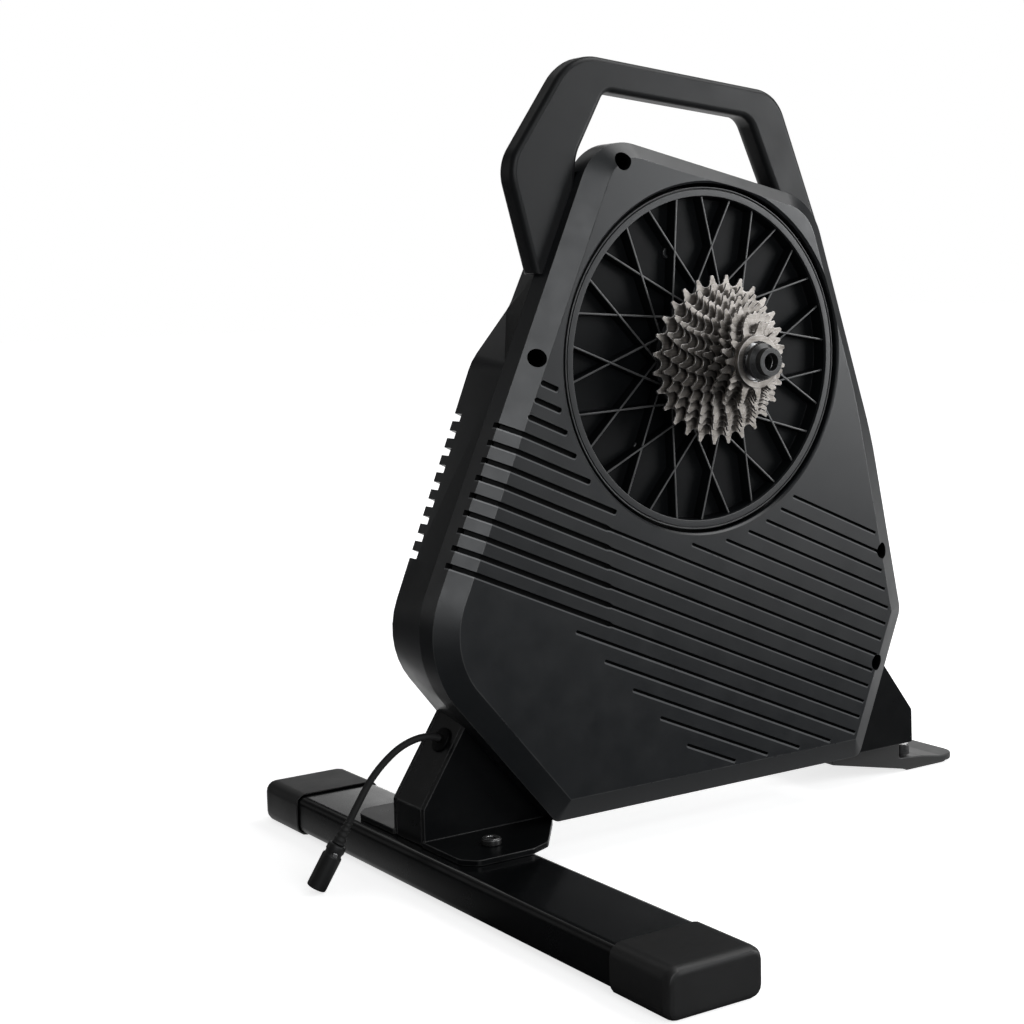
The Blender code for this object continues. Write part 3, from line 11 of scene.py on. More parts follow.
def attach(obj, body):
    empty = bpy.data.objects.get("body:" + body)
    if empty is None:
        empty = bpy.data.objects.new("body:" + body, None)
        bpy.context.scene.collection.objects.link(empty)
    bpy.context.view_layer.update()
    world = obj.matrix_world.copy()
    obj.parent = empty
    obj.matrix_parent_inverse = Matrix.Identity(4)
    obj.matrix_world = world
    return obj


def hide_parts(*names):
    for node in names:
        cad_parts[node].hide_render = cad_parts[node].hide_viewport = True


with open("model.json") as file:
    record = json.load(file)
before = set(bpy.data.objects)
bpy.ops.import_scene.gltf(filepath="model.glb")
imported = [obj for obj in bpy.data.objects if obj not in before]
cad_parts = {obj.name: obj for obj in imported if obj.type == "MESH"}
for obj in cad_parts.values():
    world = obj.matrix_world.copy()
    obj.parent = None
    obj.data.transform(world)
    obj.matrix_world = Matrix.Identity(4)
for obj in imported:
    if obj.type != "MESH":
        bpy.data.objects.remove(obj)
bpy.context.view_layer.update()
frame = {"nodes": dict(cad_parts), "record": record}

HUB = Vector((-0.02715, 0.0030, 0.3505))  # on the axle's line, level with the drive-side cover's face


def link_object(name, data):
    """A new object in the scene."""
    made = bpy.data.objects.new(name, data)
    bpy.context.scene.collection.objects.link(made)
    return made


# --- camera ---

CAMERA_PLACE = (-0.884344, -1.051484, 0.417927)
CAMERA_YAW, CAMERA_PITCH, CAMERA_ROLL = 0.57765, 0.12712, 0.027365
CAMERA_SENSOR, CAMERA_LENS = 36, 66.72
CAMERA_CLIP = (0.05, 50)


def build_camera():
    yaw, pitch, roll = CAMERA_YAW, CAMERA_PITCH, CAMERA_ROLL
    ahead = Vector((math.sin(yaw) * math.cos(pitch), math.cos(yaw) * math.cos(pitch), -math.sin(pitch)))
    level = Vector((math.cos(yaw), -math.sin(yaw), 0))
    down = ahead.cross(level)
    right = level * math.cos(roll) + down * math.sin(roll)
    below = down * math.cos(roll) - level * math.sin(roll)
    data = bpy.data.cameras.new("camera")
    data.sensor_width, data.lens = CAMERA_SENSOR, CAMERA_LENS
    data.clip_start, data.clip_end = CAMERA_CLIP
    camera = link_object("camera", data)
    axes = Matrix((right, -below, -ahead)).transposed()
    camera.matrix_world = Matrix.Translation(CAMERA_PLACE) @ axes.to_4x4()
    bpy.context.scene.camera = camera


# --- node groups: effects that several finishes share ---

TONE_NOISE, SMUDGE_NOISE, PATCH_NOISE = (9.0, 4.0), (42.0, 5.0, 0.6), (70.0, 5.0, 0.65)  # scale, detail, roughness
GRAIN_DETAIL, LINE_DETAIL = 2.0, 3.0
SMUDGE_RUB, SMUDGE_GLOSS = (0.35, 0.65, 0.35, 1.0), (0.25, 0.75, -0.05, 0.06)  # from low, high; to low, high
DIRT_PATCHES, PATCH_GLOSS = (0.42, 0.70), (0.3, 0.7, -0.06, 0.12)
LINE_TONE, LINE_GLOSS = (0.3, 0.7, 0.0, 0.25), (0.3, 0.7, -0.03, 0.03)
GRAIN_TONE, PLASTIC_POLISH, METAL_POLISH = 0.10, 0.06, 0.7
LINE_STRETCH = (0.06, 1.0, 1.0)
LINE_HEIGHT, PATCH_HEIGHT = 0.6, 0.4


class Nodes:
    """Adds nodes to one tree and links them by value."""

    def __init__(self, tree):
        self.tree = tree

    def put(self, value, socket):
        """Feeds a socket from another node's output, or sets its plain value."""
        if isinstance(value, bpy.types.NodeSocket):
            self.tree.links.new(value, socket)
        else:
            socket.default_value = value

    def add(self, kind, ins=None, **settings):
        node = self.tree.nodes.new(kind)
        for key, value in settings.items():
            setattr(node, key, value)
        for key, value in (ins or {}).items():
            self.put(value, node.inputs[key])
        return node

    def math(self, operation, a, b=0.0, clamp=False):
        return self.add("ShaderNodeMath", {0: a, 1: b}, operation=operation, use_clamp=clamp).outputs[0]

    def noise(self, vector, scale, detail, rough=0.55):
        return self.add("ShaderNodeTexNoise", {"Vector": vector, "Scale": scale, "Detail": detail,
                                               "Roughness": rough}).outputs["Fac"]

    def plain_noise(self, vector, scale, detail):
        """Noise with the roughness that a new node has."""
        return self.add("ShaderNodeTexNoise", {"Vector": vector, "Scale": scale, "Detail": detail}).outputs["Fac"]

    def span(self, value, low, high, to_low=0.0, to_high=1.0):
        return self.add("ShaderNodeMapRange", {"Value": value, "From Min": low, "From Max": high,
                                               "To Min": to_low, "To Max": to_high}).outputs[0]

    def mix(self, factor, a, b, blend="MIX"):
        """Mixes two colours; a mix node keeps its colour sockets at 6 and 7 and its colour result at 2."""
        return self.add("ShaderNodeMix", {0: factor, 6: a, 7: b}, data_type="RGBA", blend_type=blend).outputs[2]

    def patch(self, axes, spans):
        """The product of one span for each axis that is named."""
        value, *others = (self.span(axes[axis], *ends) for axis, ends in spans.items())
        for other in others:
            value = self.math("MULTIPLY", value, other)
        return value

    def place(self, kind="Object"):
        return self.add("ShaderNodeTexCoord").outputs[kind]

    def edge(self):
        """The edge mark that a piece carries on its rounded faces: edge wear, and on moulded plastic also a painted
        edge highlight.
        """
        return self.add("ShaderNodeAttribute", attribute_name="edge").outputs["Fac"]


def empty_tree(owner):
    """The cleared node tree of a material or a world."""
    owner.use_nodes = True
    owner.node_tree.nodes.clear()
    return Nodes(owner.node_tree)


def new_group(name, colours, numbers):
    """A group with colour and number inputs that gives a colour, a roughness and a bump height."""
    group = bpy.data.node_groups.new(name, "ShaderNodeTree")
    for way, kind, labels in (("INPUT", "Color", colours), ("INPUT", "Float", numbers),
                              ("OUTPUT", "Color", ["Color"]), ("OUTPUT", "Float", ["Roughness", "Height"])):
        for label in labels:
            group.interface.new_socket(label, in_out=way, socket_type="NodeSocket" + kind)
    nodes = Nodes(group)
    return nodes, nodes.add("NodeGroupInput").outputs, nodes.add("NodeGroupOutput").inputs


def build_moulded_group():
    """Fine spark-eroded grain, slow tone changes, smudges in the gloss and rubbed edges, whose lightening is partly
    wear and partly a painted edge highlight.
    """
    nodes, given, result = new_group("moulded_surface", ["Color", "Edge Color"],
                                     ["Roughness", "Grain Scale", "Tone", "Wear And Highlight"])
    place, edge = nodes.place(), nodes.edge()
    slow = nodes.noise(place, *TONE_NOISE)
    smudge = nodes.noise(place, *SMUDGE_NOISE)
    grain = nodes.plain_noise(place, given["Grain Scale"], GRAIN_DETAIL)
    # rubbed edges: partly wear, partly a painted edge highlight
    rubbed_and_highlit = nodes.math("MULTIPLY", edge, nodes.span(smudge, *SMUDGE_RUB))
    rubbed_and_highlit = nodes.math("MULTIPLY", rubbed_and_highlit, given["Wear And Highlight"], clamp=True)
    tone = nodes.math("MULTIPLY", nodes.math("SUBTRACT", slow, 0.5), given["Tone"])
    fine = nodes.math("MULTIPLY", nodes.math("SUBTRACT", grain, 0.5), GRAIN_TONE)
    light = nodes.math("ADD", 1.0, nodes.math("ADD", tone, fine))
    shade = nodes.add("ShaderNodeCombineColor", {0: light, 1: light, 2: light}).outputs[0]
    base = nodes.mix(1.0, given["Color"], shade, "MULTIPLY")
    nodes.put(nodes.mix(rubbed_and_highlit, base, given["Edge Color"]), result["Color"])
    rough = nodes.math("ADD", given["Roughness"], nodes.span(smudge, *SMUDGE_GLOSS))
    polish = nodes.math("MULTIPLY", edge, PLASTIC_POLISH)
    nodes.put(nodes.math("SUBTRACT", rough, polish, clamp=True), result["Roughness"])
    nodes.put(grain, result["Height"])
    return nodes.tree


def build_machined_group():
    """Turned or rolled metal: fine drawn lines, patches of oil and dirt, and bright rubbed edges."""
    nodes, given, result = new_group("machined_surface", ["Color", "Edge Color", "Dirt Color"],
                                     ["Roughness", "Line Scale", "Dirt"])
    place, edge = nodes.place(), nodes.edge()
    drawn = nodes.add("ShaderNodeMapping", {"Vector": place, "Scale": LINE_STRETCH}).outputs[0]
    lines = nodes.plain_noise(drawn, given["Line Scale"], LINE_DETAIL)
    patch = nodes.noise(place, *PATCH_NOISE)
    dirt = nodes.math("MULTIPLY", nodes.span(patch, *DIRT_PATCHES), given["Dirt"], clamp=True)
    body = nodes.mix(dirt, given["Color"], given["Dirt Color"])
    body = nodes.mix(nodes.span(lines, *LINE_TONE), body, given["Edge Color"])
    polish = nodes.math("MULTIPLY", edge, METAL_POLISH)
    nodes.put(nodes.mix(polish, body, given["Edge Color"]), result["Color"])
    rough = nodes.math("ADD", given["Roughness"], nodes.span(patch, *PATCH_GLOSS))
    rough = nodes.math("ADD", rough, nodes.span(lines, *LINE_GLOSS), clamp=True)
    nodes.put(rough, result["Roughness"])
    height = nodes.math("ADD", nodes.math("MULTIPLY", lines, LINE_HEIGHT), nodes.math("MULTIPLY", patch, PATCH_HEIGHT))
    nodes.put(height, result["Height"])
    return nodes.tree


# --- materials ---


def make_finish(name, group, inputs, specular, metallic, bump, depth, coat):
    """A material whose colour, roughness and bump come from one of the shared surfaces."""
    material = bpy.data.materials.new(name)
    nodes = empty_tree(material)
    surface = nodes.add("ShaderNodeGroup", node_tree=group)
    for socket, value in zip(surface.inputs, inputs):
        socket.default_value = value
    relief = nodes.add("ShaderNodeBump", {"Strength": bump, "Distance": depth, "Height": surface.outputs["Height"]})
    shader = nodes.add("ShaderNodeBsdfPrincipled", {
        "Base Color": surface.outputs["Color"], "Roughness": surface.outputs["Roughness"],
        "Normal": relief.outputs[0], "Metallic": metallic, "Specular IOR Level": specular, "Coat Weight": coat})
    nodes.put(shader.outputs[0], nodes.add("ShaderNodeOutputMaterial").inputs[0])
    material.diffuse_color = inputs[0]
    return material


def grey(value, warm=0.0):
    return (value * (1 + warm), value, value * (1 - warm), 1)


# colour, edge colour, roughness, grain scale, tone, edge wear with painted edge highlight; then specular level and bump
MOULDED_FINISHES = {
    "cover_plastic": (grey(0.0080, -0.14), grey(0.070), 0.34, 1500.0, 0.30, 0.50, 0.50, 0.20),
    "handle_plastic": (grey(0.0080, -0.06), grey(0.050), 0.42, 1100.0, 0.25, 0.35, 0.27, 0.25),
    # near black: painted shade on the floors of the cover's slots, its screw wells and the handle's seat; also the
    # cable grommet's finish
    "black_and_painted_shade": (grey(0.0022, -0.05), grey(0.006), 0.60, 1500.0, 0.30, 0.30, 0.12, 0.20),
    # lighter plastic on the lips below the slots: painted highlight
    "slot_lip_painted_highlight": (grey(0.085, -0.03), grey(0.150), 0.30, 1500.0, 0.30, 0.50, 0.60, 0.20),
    "pulley_plastic": (grey(0.0135, -0.08), grey(0.080), 0.36, 1600.0, 0.40, 0.90, 0.48, 0.18),
    # the pulley's web and its ribs' sides: the same plastic made darker as painted shade
    "pulley_web_painted_shade": (grey(0.0045, -0.12), grey(0.020), 0.42, 1600.0, 0.90, 0.50, 0.10, 0.25),
    "chassis_paint": (grey(0.0032, -0.10), grey(0.075), 0.30, 700.0, 0.25, 0.60, 0.16, 0.30),
    "bar_paint": (grey(0.0032, -0.10), grey(0.050), 0.15, 500.0, 0.25, 0.60, 0.50, 0.10),
    "cap_plastic": (grey(0.012), grey(0.045), 0.48, 1300.0, 0.25, 0.35, 0.42, 0.25),
    "rubber": (grey(0.018), grey(0.050), 0.62, 900.0, 0.35, 0.25, 0.35, 0.30),
    "board": ((0.012, 0.060, 0.026, 1), (0.16, 0.14, 0.05, 1), 0.34, 600.0, 0.40, 0.60, 0.50, 0.12),
}
# colour, edge colour, dirt colour, roughness, line scale, dirt; then metallic and bump
MACHINED_FINISHES = {
    "cassette_steel": (grey(0.22, 0.09), grey(0.56, 0.03), grey(0.035, 0.35), 0.38, 1500.0, 0.75, 1.0, 0.12),
    "steel": (grey(0.48), grey(0.75), grey(0.14, 0.05), 0.28, 1300.0, 0.30, 1.0, 0.10),
    "black_steel": (grey(0.030), grey(0.12), grey(0.012), 0.30, 1200.0, 0.40, 0.6, 0.10),
    "cast_iron": (grey(0.16, 0.03), grey(0.40), grey(0.05, 0.15), 0.46, 420.0, 0.55, 1.0, 0.35),
    "copper": ((0.62, 0.27, 0.14, 1), (0.85, 0.45, 0.28, 1), (0.20, 0.07, 0.03, 1), 0.32, 1600.0, 0.35, 1.0, 0.25),
}
BUMP_DEPTH, DEEPER_BUMPS, COATS = 0.0001, {"chassis_paint": 0.00015}, {"board": 0.4}
METAL_SPECULAR = 0.5
FINISHES = {}


def build_finishes():
    moulded, machined = build_moulded_group(), build_machined_group()
    for name, (*inputs, specular, bump) in MOULDED_FINISHES.items():
        depth = DEEPER_BUMPS.get(name, BUMP_DEPTH)
        FINISHES[name] = make_finish(name, moulded, inputs, specular, 0.0, bump, depth, COATS.get(name, 0.0))
    for name, (*inputs, metallic, bump) in MACHINED_FINISHES.items():
        FINISHES[name] = make_finish(name, machined, inputs, METAL_SPECULAR, metallic, bump, BUMP_DEPTH, 0.0)


# --- shaping helpers ---

WELD = 1e-6
FLAT_ANGLE = math.radians(0.6)
CREASE, CUT_EDGE = 32.0, 24.0  # degrees
MAIN, SECOND, THIRD = 0, 1, 2  # which of its piece's finishes a face takes


def move(bm, by, verts=None):
    bmesh.ops.translate(bm, verts=verts or bm.verts[:], vec=by)


def turn(bm, angle, axis="Z", verts=None):
    bmesh.ops.rotate(bm, verts=verts or bm.verts[:], cent=(0, 0, 0), matrix=Matrix.Rotation(angle, 3, axis))


def outward(bm):
    bmesh.ops.recalc_face_normals(bm, faces=bm.faces[:])


def verts_of(geometry):
    return [item for item in geometry if isinstance(item, bmesh.types.BMVert)]


def edges_of(geometry):
    return [item for item in geometry if isinstance(item, bmesh.types.BMEdge)]


def give_finish(bm, index):
    for face in bm.faces:
        face.material_index = index
    return bm


def node_mesh(node):
    """A CAD node's mesh, merged back to clean faces."""
    bm = bmesh.new()
    bm.from_mesh(frame["nodes"][node].data)
    bmesh.ops.remove_doubles(bm, verts=bm.verts[:], dist=WELD)
    bmesh.ops.dissolve_limit(bm, angle_limit=FLAT_ANGLE, verts=bm.verts[:], edges=bm.edges[:])
    outward(bm)
    return bm


def block(size):
    bm = bmesh.new()
    bmesh.ops.create_cube(bm, size=1.0)
    bmesh.ops.scale(bm, vec=size, verts=bm.verts[:])
    return bm


def creases(bm, angle):
    """Edges whose two faces meet at more than an angle in degrees."""
    return [e for e in bm.edges if len(e.link_faces) == 2 and e.calc_face_angle(0.0) > math.radians(angle)]


def soften(bm, width, segments=2, angle=CREASE, clamp=True):
    """Rounds every crease sharper than the angle and marks the new faces for the edge wear, and on moulded plastic for
    the painted edge highlight too.
    """
    mark = bm.faces.layers.float.get("edge") or bm.faces.layers.float.new("edge")
    found = creases(bm, angle)
    if found:
        made = bmesh.ops.bevel(bm, geom=found, offset=width, offset_type="OFFSET", segments=segments, profile=0.5,
                               affect="EDGES", clamp_overlap=clamp, material=-1)
        for face in made["faces"]:
            face[mark] = 1.0
    return bm


def crisp(bm):
    """Keeps the cut edges of a carved shape sharp, so that its flats stay flat."""
    for edge in creases(bm, CUT_EDGE):
        edge.smooth = False
    return bm


def add_to(bm, other):
    """Puts one shape beside another in the same mesh."""
    spare = bpy.data.meshes.new("spare")
    other.to_mesh(spare)
    other.free()
    bm.from_mesh(spare)
    bpy.data.meshes.remove(spare)


def add_piece(node, bm, body, finish, *more_finishes):
    """Makes the piece that stands for a CAD node, gives it its finish, and lets it ride on its body."""
    name = node + "_finished"
    mesh = bpy.data.meshes.new(name)
    bm.to_mesh(mesh)
    bm.free()
    mesh.shade_smooth()
    piece = link_object(name, mesh)
    for each in (finish, *more_finishes):
        mesh.materials.append(FINISHES[each])
    even = piece.modifiers.new("even_normals", "WEIGHTED_NORMAL")
    even.keep_sharp = True
    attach(piece, body)
    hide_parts(node)


# --- power lead ---

LEAD_RADIUS, LEAD_ROUNDNESS = 0.0025, 8
LEAD_STEPS = (0, 0.25, 0.5, 0.75)
LEAD_INSIDE, LEAD_STRAIGHT, LEAD_SHOWN, LEAD_GAP = 0.0080, 0.0050, 0.0027, 0.0003
LEAD_BENDS = [(-0.2202, 0.0460, -0.2490), (-0.2328, 0.0490, -0.2535), (-0.2434, 0.0530, -0.2625),
              (-0.2535, 0.0570, -0.2753), (-0.2630, 0.0605, -0.2925)]
CABLE_HOLE = Vector((-0.203561, 0.0450, -0.253070))
HOLE_OUTWARD = Vector((-0.83531, 0.0, 0.54978))
PLUG_TILT = Vector((-0.467677, 0.152090, -0.870716))
RELIEF_START = Vector((-0.268610, 0.062826, -0.303696))
PLUG_START = Vector((-0.276233, 0.065305, -0.317889))


def lead_points():
    """The CAD lead's own bends with a smooth curve through them, in four steps from each to the next."""
    bends = [CABLE_HOLE - HOLE_OUTWARD * LEAD_INSIDE, CABLE_HOLE + HOLE_OUTWARD * LEAD_STRAIGHT,
             *(Vector(b) for b in LEAD_BENDS), RELIEF_START - PLUG_TILT * LEAD_GAP]
    ends = [bends[0] * 2 - bends[1], *bends, bends[-1] * 2 - bends[-2]]
    points = []
    for a, b, c, d in zip(ends, ends[1:], ends[2:], ends[3:]):
        for t in LEAD_STEPS:
            points.append((b * 2 + (c - a) * t + (a * 2 - b * 5 + c * 4 - d) * t * t
                           + (b * 3 - a - c * 3 + d) * t ** 3) / 2)
    return [p + HUB for p in [*points, bends[-1]]]


def build_lead():
    points = lead_points()
    curve = bpy.data.curves.new("power_lead", "CURVE")
    curve.dimensions = "3D"
    curve.bevel_depth, curve.bevel_resolution, curve.use_fill_caps = LEAD_RADIUS, LEAD_ROUNDNESS, True
    spline = curve.splines.new("POLY")
    spline.points.add(len(points) - 1)
    for point, target in zip(spline.points, points):
        point.co = (*target, 1)
    spline.use_smooth = True
    lead = link_object("power_lead", curve)
    curve.materials.append(FINISHES["rubber"])
    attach(lead, "chassis")
    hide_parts("power_cord")


# --- outlines with rounded corners, as the covers and the handle have ---

LEAST_RADIUS, LEAST_TURN, LEAST_CROSSING = 0.0004, 0.01, 0.0001
STRAIGHT_HALF, CORNER_ROOM = 1.56, 0.49


def moved_corners(corners, insets):
    """Each side of a clockwise outline moves inwards by its own inset, and the sides meet again."""
    moved = []
    points = [Vector(corner[:2]) for corner in corners]
    for i, point in enumerate(points):
        before = (point - points[i - 1]).normalized()
        after = (points[(i + 1) % len(points)] - point).normalized()
        start = point + Vector((before.y, -before.x)) * insets[i - 1]
        end = point + Vector((after.y, -after.x)) * insets[i]
        bend = before.cross(after)
        corner = (start + end) / 2 if abs(bend) < LEAST_TURN else start + before * ((end - start).cross(after) / bend)
        radius = corners[i][2] + math.copysign((insets[i - 1] + insets[i]) / 2, bend)
        moved.append((corner.x, corner.y, max(radius, LEAST_RADIUS)))
    return moved


def rounded(corners, steps):
    """Points of a clockwise outline: each corner is an arc with its own count of steps."""
    points = []
    for i, (x, y, radius) in enumerate(corners):
        corner = Vector((x, y))
        back, ahead = Vector(corners[i - 1][:2]) - corner, Vector(corners[(i + 1) % len(corners)][:2]) - corner
        room = CORNER_ROOM * min(back.length, ahead.length)
        back.normalize()
        ahead.normalize()
        half = back.angle(ahead) / 2
        reach = min(radius / math.tan(half), room) if half < STRAIGHT_HALF else min(radius, room)
        start, end = corner + back * reach, corner + ahead * reach
        if half >= STRAIGHT_HALF:
            points += [start.lerp(end, k / steps[i]) for k in range(steps[i] + 1)]
            continue
        centre = corner + (back + ahead).normalized() * (reach / math.cos(half))
        sweep = math.copysign(math.pi - 2 * half, (start - centre).cross(end - centre))
        points += [centre + Matrix.Rotation(sweep * k / steps[i], 2) @ (start - centre) for k in range(steps[i] + 1)]
    return points


def through_sections(sections):
    """Closed shape through outlines of x and z, each at its depth behind the cover's face."""
    bm = bmesh.new()
    rings = [[bm.verts.new(HUB + Vector((p[0], depth, p[1]))) for p in points] for depth, points in sections]
    for near, far in zip(rings, rings[1:]):
        for i in range(len(near)):
            j = (i + 1) % len(near)
            bm.faces.new((near[i], near[j], far[j], far[i]))
    bm.faces.new(rings[0])
    bm.faces.new(rings[-1])
    outward(bm)
    return bm


# --- turned and carved shapes ---

# the cover's plastic, painted shade for its slots and wells, and a painted highlight on the slots' lips
COVER_FINISHES = ("cover_plastic", "black_and_painted_shade", "slot_lip_painted_highlight")


def spin_profile(profile, steps=96, closed=True):
    """A profile of radius and height, turned full circle round Z."""
    bm = bmesh.new()
    verts = [bm.verts.new((radius, 0, height)) for radius, height in profile]
    edges = [bm.edges.new(pair) for pair in zip(verts, verts[1:])]
    if closed:
        edges.append(bm.edges.new((verts[-1], verts[0])))
    bmesh.ops.spin(bm, geom=verts + edges, cent=(0, 0, 0), axis=(0, 0, 1), dvec=(0, 0, 0), angle=2 * math.pi,
                   steps=steps, use_merge=True, use_duplicate=False)
    bmesh.ops.remove_doubles(bm, verts=bm.verts[:], dist=WELD)
    outward(bm)
    return bm


def lay_down(bm):
    """Makes heights along Z into depths behind the cover's face; x stays as drawn, seen from the drive side."""
    bmesh.ops.scale(bm, vec=(1, -1, 1), verts=bm.verts[:])
    outward(bm)
    turn(bm, -math.pi / 2, "X")
    move(bm, HUB)
    return bm


def spare_object(bm):
    mesh = bpy.data.meshes.new("spare")
    bm.to_mesh(mesh)
    bm.free()
    for finish in COVER_FINISHES:
        mesh.materials.append(FINISHES[finish])
    return link_object("spare", mesh)


def carve(bm, *tools):
    """Cuts the tools out of a shape. A face cut by a tool keeps that tool's own finish."""
    target, *cutters = (spare_object(shape) for shape in (bm, *tools))
    for cutter in cutters:
        cut = target.modifiers.new("cut", "BOOLEAN")
        cut.operation, cut.solver, cut.object = "DIFFERENCE", "EXACT", cutter
    bpy.context.view_layer.update()
    mesh = bpy.data.meshes.new_from_object(target.evaluated_get(bpy.context.evaluated_depsgraph_get()))
    result = bmesh.new()
    result.from_mesh(mesh)
    for spare in (target, *cutters):
        bpy.data.objects.remove(spare, do_unlink=True)
    bpy.data.meshes.remove(mesh)
    return result


# --- carry handle: soft front edge, flat side, round grip back ---

HANDLE_OUTLINE = [(-0.1348, 0.0640, 0.002), (-0.1548, 0.1368, 0.030), (-0.1005, 0.2125, 0.038), (0.0820, 0.1900, 0.030),
                  (0.1250, 0.0850, 0.002), (0.0950, 0.0850, 0.002), (0.0550, 0.1715, 0.014), (-0.0735, 0.1865, 0.008),
                  (-0.0980, 0.1435, 0.030), (-0.1050, 0.0640, 0.002)]
HANDLE_STEPS = [2, 10, 16, 14, 2, 2, 10, 8, 8, 2]
HANDLE_FRONT = 0.0160
HANDLE_SECTIONS = [  # depth behind the handle's front, inset of its outer side and of its inner side
    (0.0000, 0.0042, 0.0042), (0.0002, 0.0030, 0.0030), (0.0008, 0.0017, 0.0017), (0.0018, 0.0007, 0.0007),
    (0.0032, 0.0001, 0.0001), (0.0046, 0.0, 0.0), (0.0130, 0.0, 0.0), (0.0155, 0.0008, 0.0002),
    (0.0180, 0.0030, 0.0009), (0.0197, 0.0056, 0.0018), (0.0210, 0.0090, 0.0030)]
LEG_END = -0.0004  # the hidden leg ends fill most of their clearance in the covers, so no light shows past them


def build_handle():
    sections = []
    for depth, outer, inner in HANDLE_SECTIONS:
        insets = [outer] * 4 + [LEG_END] + [inner] * 4 + [LEG_END]
        sections.append((HANDLE_FRONT + depth, rounded(moved_corners(HANDLE_OUTLINE, insets), HANDLE_STEPS)))
    add_piece("carry_handle", through_sections(sections), "chassis", "handle_plastic")


# --- drive-side cover: bevelled face, round opening, louvre slots, screw wells ---

DRIVE_OUTLINE = [(-0.0874, 0.1580, 0.038), (0.1067, 0.1117, 0.045), (0.1660, -0.0670, 0.400), (0.1960, -0.2050, 0.018),
                 (0.1520, -0.3155, 0.008), (-0.1350, -0.3155, 0.006), (-0.2425, -0.1870, 0.074),
                 (-0.1585, 0.0000, 0.007), (-0.1315, 0.0600, 0.006)]
OUTLINE_STEPS = [14, 16, 6, 9, 4, 4, 20, 4, 4]
REAR_CORNER_X = -0.2425
WALL, BEVEL_DEPTH, BEVEL_WIDTH = 0.0045, 0.0080, 0.0165
BEVEL_WIDTHS = [0.0100, 0.0125] + [BEVEL_WIDTH] * 7
SEAM, SLOT_TOOL_BACK, HOLLOW_PAST_SEAM = 0.02585, 0.026, 0.010
CUTTER_FRONT, SLOT_BACK, OPENING_BACK = -0.010, 0.013, 0.040
OPENING, OPENING_LIP, OPENING_BORDER = 0.1240, 0.0016, 0.0080
OPENING_PROFILE = [(0, 0.020), (0, CUTTER_FRONT), (OPENING + OPENING_LIP, CUTTER_FRONT), (OPENING + OPENING_LIP, 0.0),
                   (OPENING + 0.0004, 0.0009), (OPENING, OPENING_LIP), (OPENING, OPENING_BACK), (0, OPENING_BACK)]
OPENING_STEPS, WELL_STEPS, END_STEPS = 180, 40, 6
COVER_ROUND, HOUSING_ROUND, COVER_CREASE = 0.0005, 0.0004, 18
SLAT_SLOPE = math.radians(23.4)
SLAT_ALONG = Vector((math.cos(SLAT_SLOPE), -math.sin(SLAT_SLOPE)))
SLAT_UP = Vector((math.sin(SLAT_SLOPE), math.cos(SLAT_SLOPE)))
SLAT_PITCH, FIRST_SLAT, SLAT_DEPTH, WIDE_SLAT, NARROW_SLAT = 0.01243, 0.0644, 0.0034, 0.0036, 0.0021
SHORT_SLATS, BEVEL_SLATS, SLATS = 3, 12, 17  # where each kind ends, from the top: short, open at the bevel, low
SLAT_LIP, LIP_GROWTH = 0.0005, 0.0008
LIP_DROP, LOW_LIP_GROWTH, LOW_LIP_SHIFT = 0.75, 1.3, 0.3  # keep the lips' walls off the slots' own walls
SLAT_JOG_X, JOG_HALF = -0.0900, 0.0015
SHORT_SLAT_X, SHORT_SLAT_SHIFT, LOW_SLAT_DIAGONAL, FACE_BORDER = -0.1420, -0.0055, -0.3000, 0.0200
HALF_CIRCLE = [(math.sin(a), math.cos(a)) for a in (math.pi * k / END_STEPS for k in range(END_STEPS + 1))]
SCREW_WELLS = [(-0.1443, 0.0080), (-0.0710, 0.1385), (0.1700, -0.1550), (0.1640, -0.2420)]
WELL_RADIUS, WELL_DEPTH = 0.0062, 0.0180
HANDLE_SPACE, HANDLE_SPACE_DEPTHS = -0.00008, (0.01592, 0.0375)


def inset_outline(corners, inset):
    return rounded(moved_corners(corners, [inset] * len(corners)), OUTLINE_STEPS)


def cover_sections(inside, back_depth):
    """Sections of the cover's outside, or of a surface that lies some way inside it."""
    insets = []
    for width in BEVEL_WIDTHS:
        slope = math.hypot(width, BEVEL_DEPTH)
        insets.append(width + inside * (slope - width) / BEVEL_DEPTH)
    slope = math.hypot(BEVEL_WIDTH, BEVEL_DEPTH)
    side_depth = BEVEL_DEPTH + inside * (slope - BEVEL_DEPTH) / BEVEL_WIDTH
    side = inset_outline(DRIVE_OUTLINE, inside)
    face = rounded(moved_corners(DRIVE_OUTLINE, insets), OUTLINE_STEPS)
    return [(inside, face), (side_depth, side), (back_depth, side)]


def slot_outline(offset, start, stop, jog=None, width=WIDE_SLAT, grow=0.0):
    """A slot with round ends between two distances along its line, narrower past the jog.

    It grows round its ends and below; its upper side moves down by a quarter of the growth.
    """
    line = SLAT_UP * (offset - grow * LIP_DROP)
    all_narrow = jog is not None and jog <= start
    first = (NARROW_SLAT if all_narrow else width) / 2 + grow / 2
    last = (NARROW_SLAT if jog is not None else width) / 2 + grow / 2
    starts = [(start - across * first, up * first) for across, up in reversed(HALF_CIRCLE)]
    stops = [(stop + across * last, up * last) for across, up in HALF_CIRCLE]
    upper, lower = [], []
    if jog is not None and not all_narrow:
        upper = [(jog - JOG_HALF, first), (jog + JOG_HALF, last)]
        lower = [(jog + JOG_HALF, -last), (jog - JOG_HALF, -first)]
    return [line + SLAT_ALONG * a + SLAT_UP * b for a, b in [*starts, *upper, *stops, *lower]]


def along_slat(x, offset):
    """Distance along a slot's line at which it passes an x."""
    return (x - SLAT_UP.x * offset) / SLAT_ALONG.x


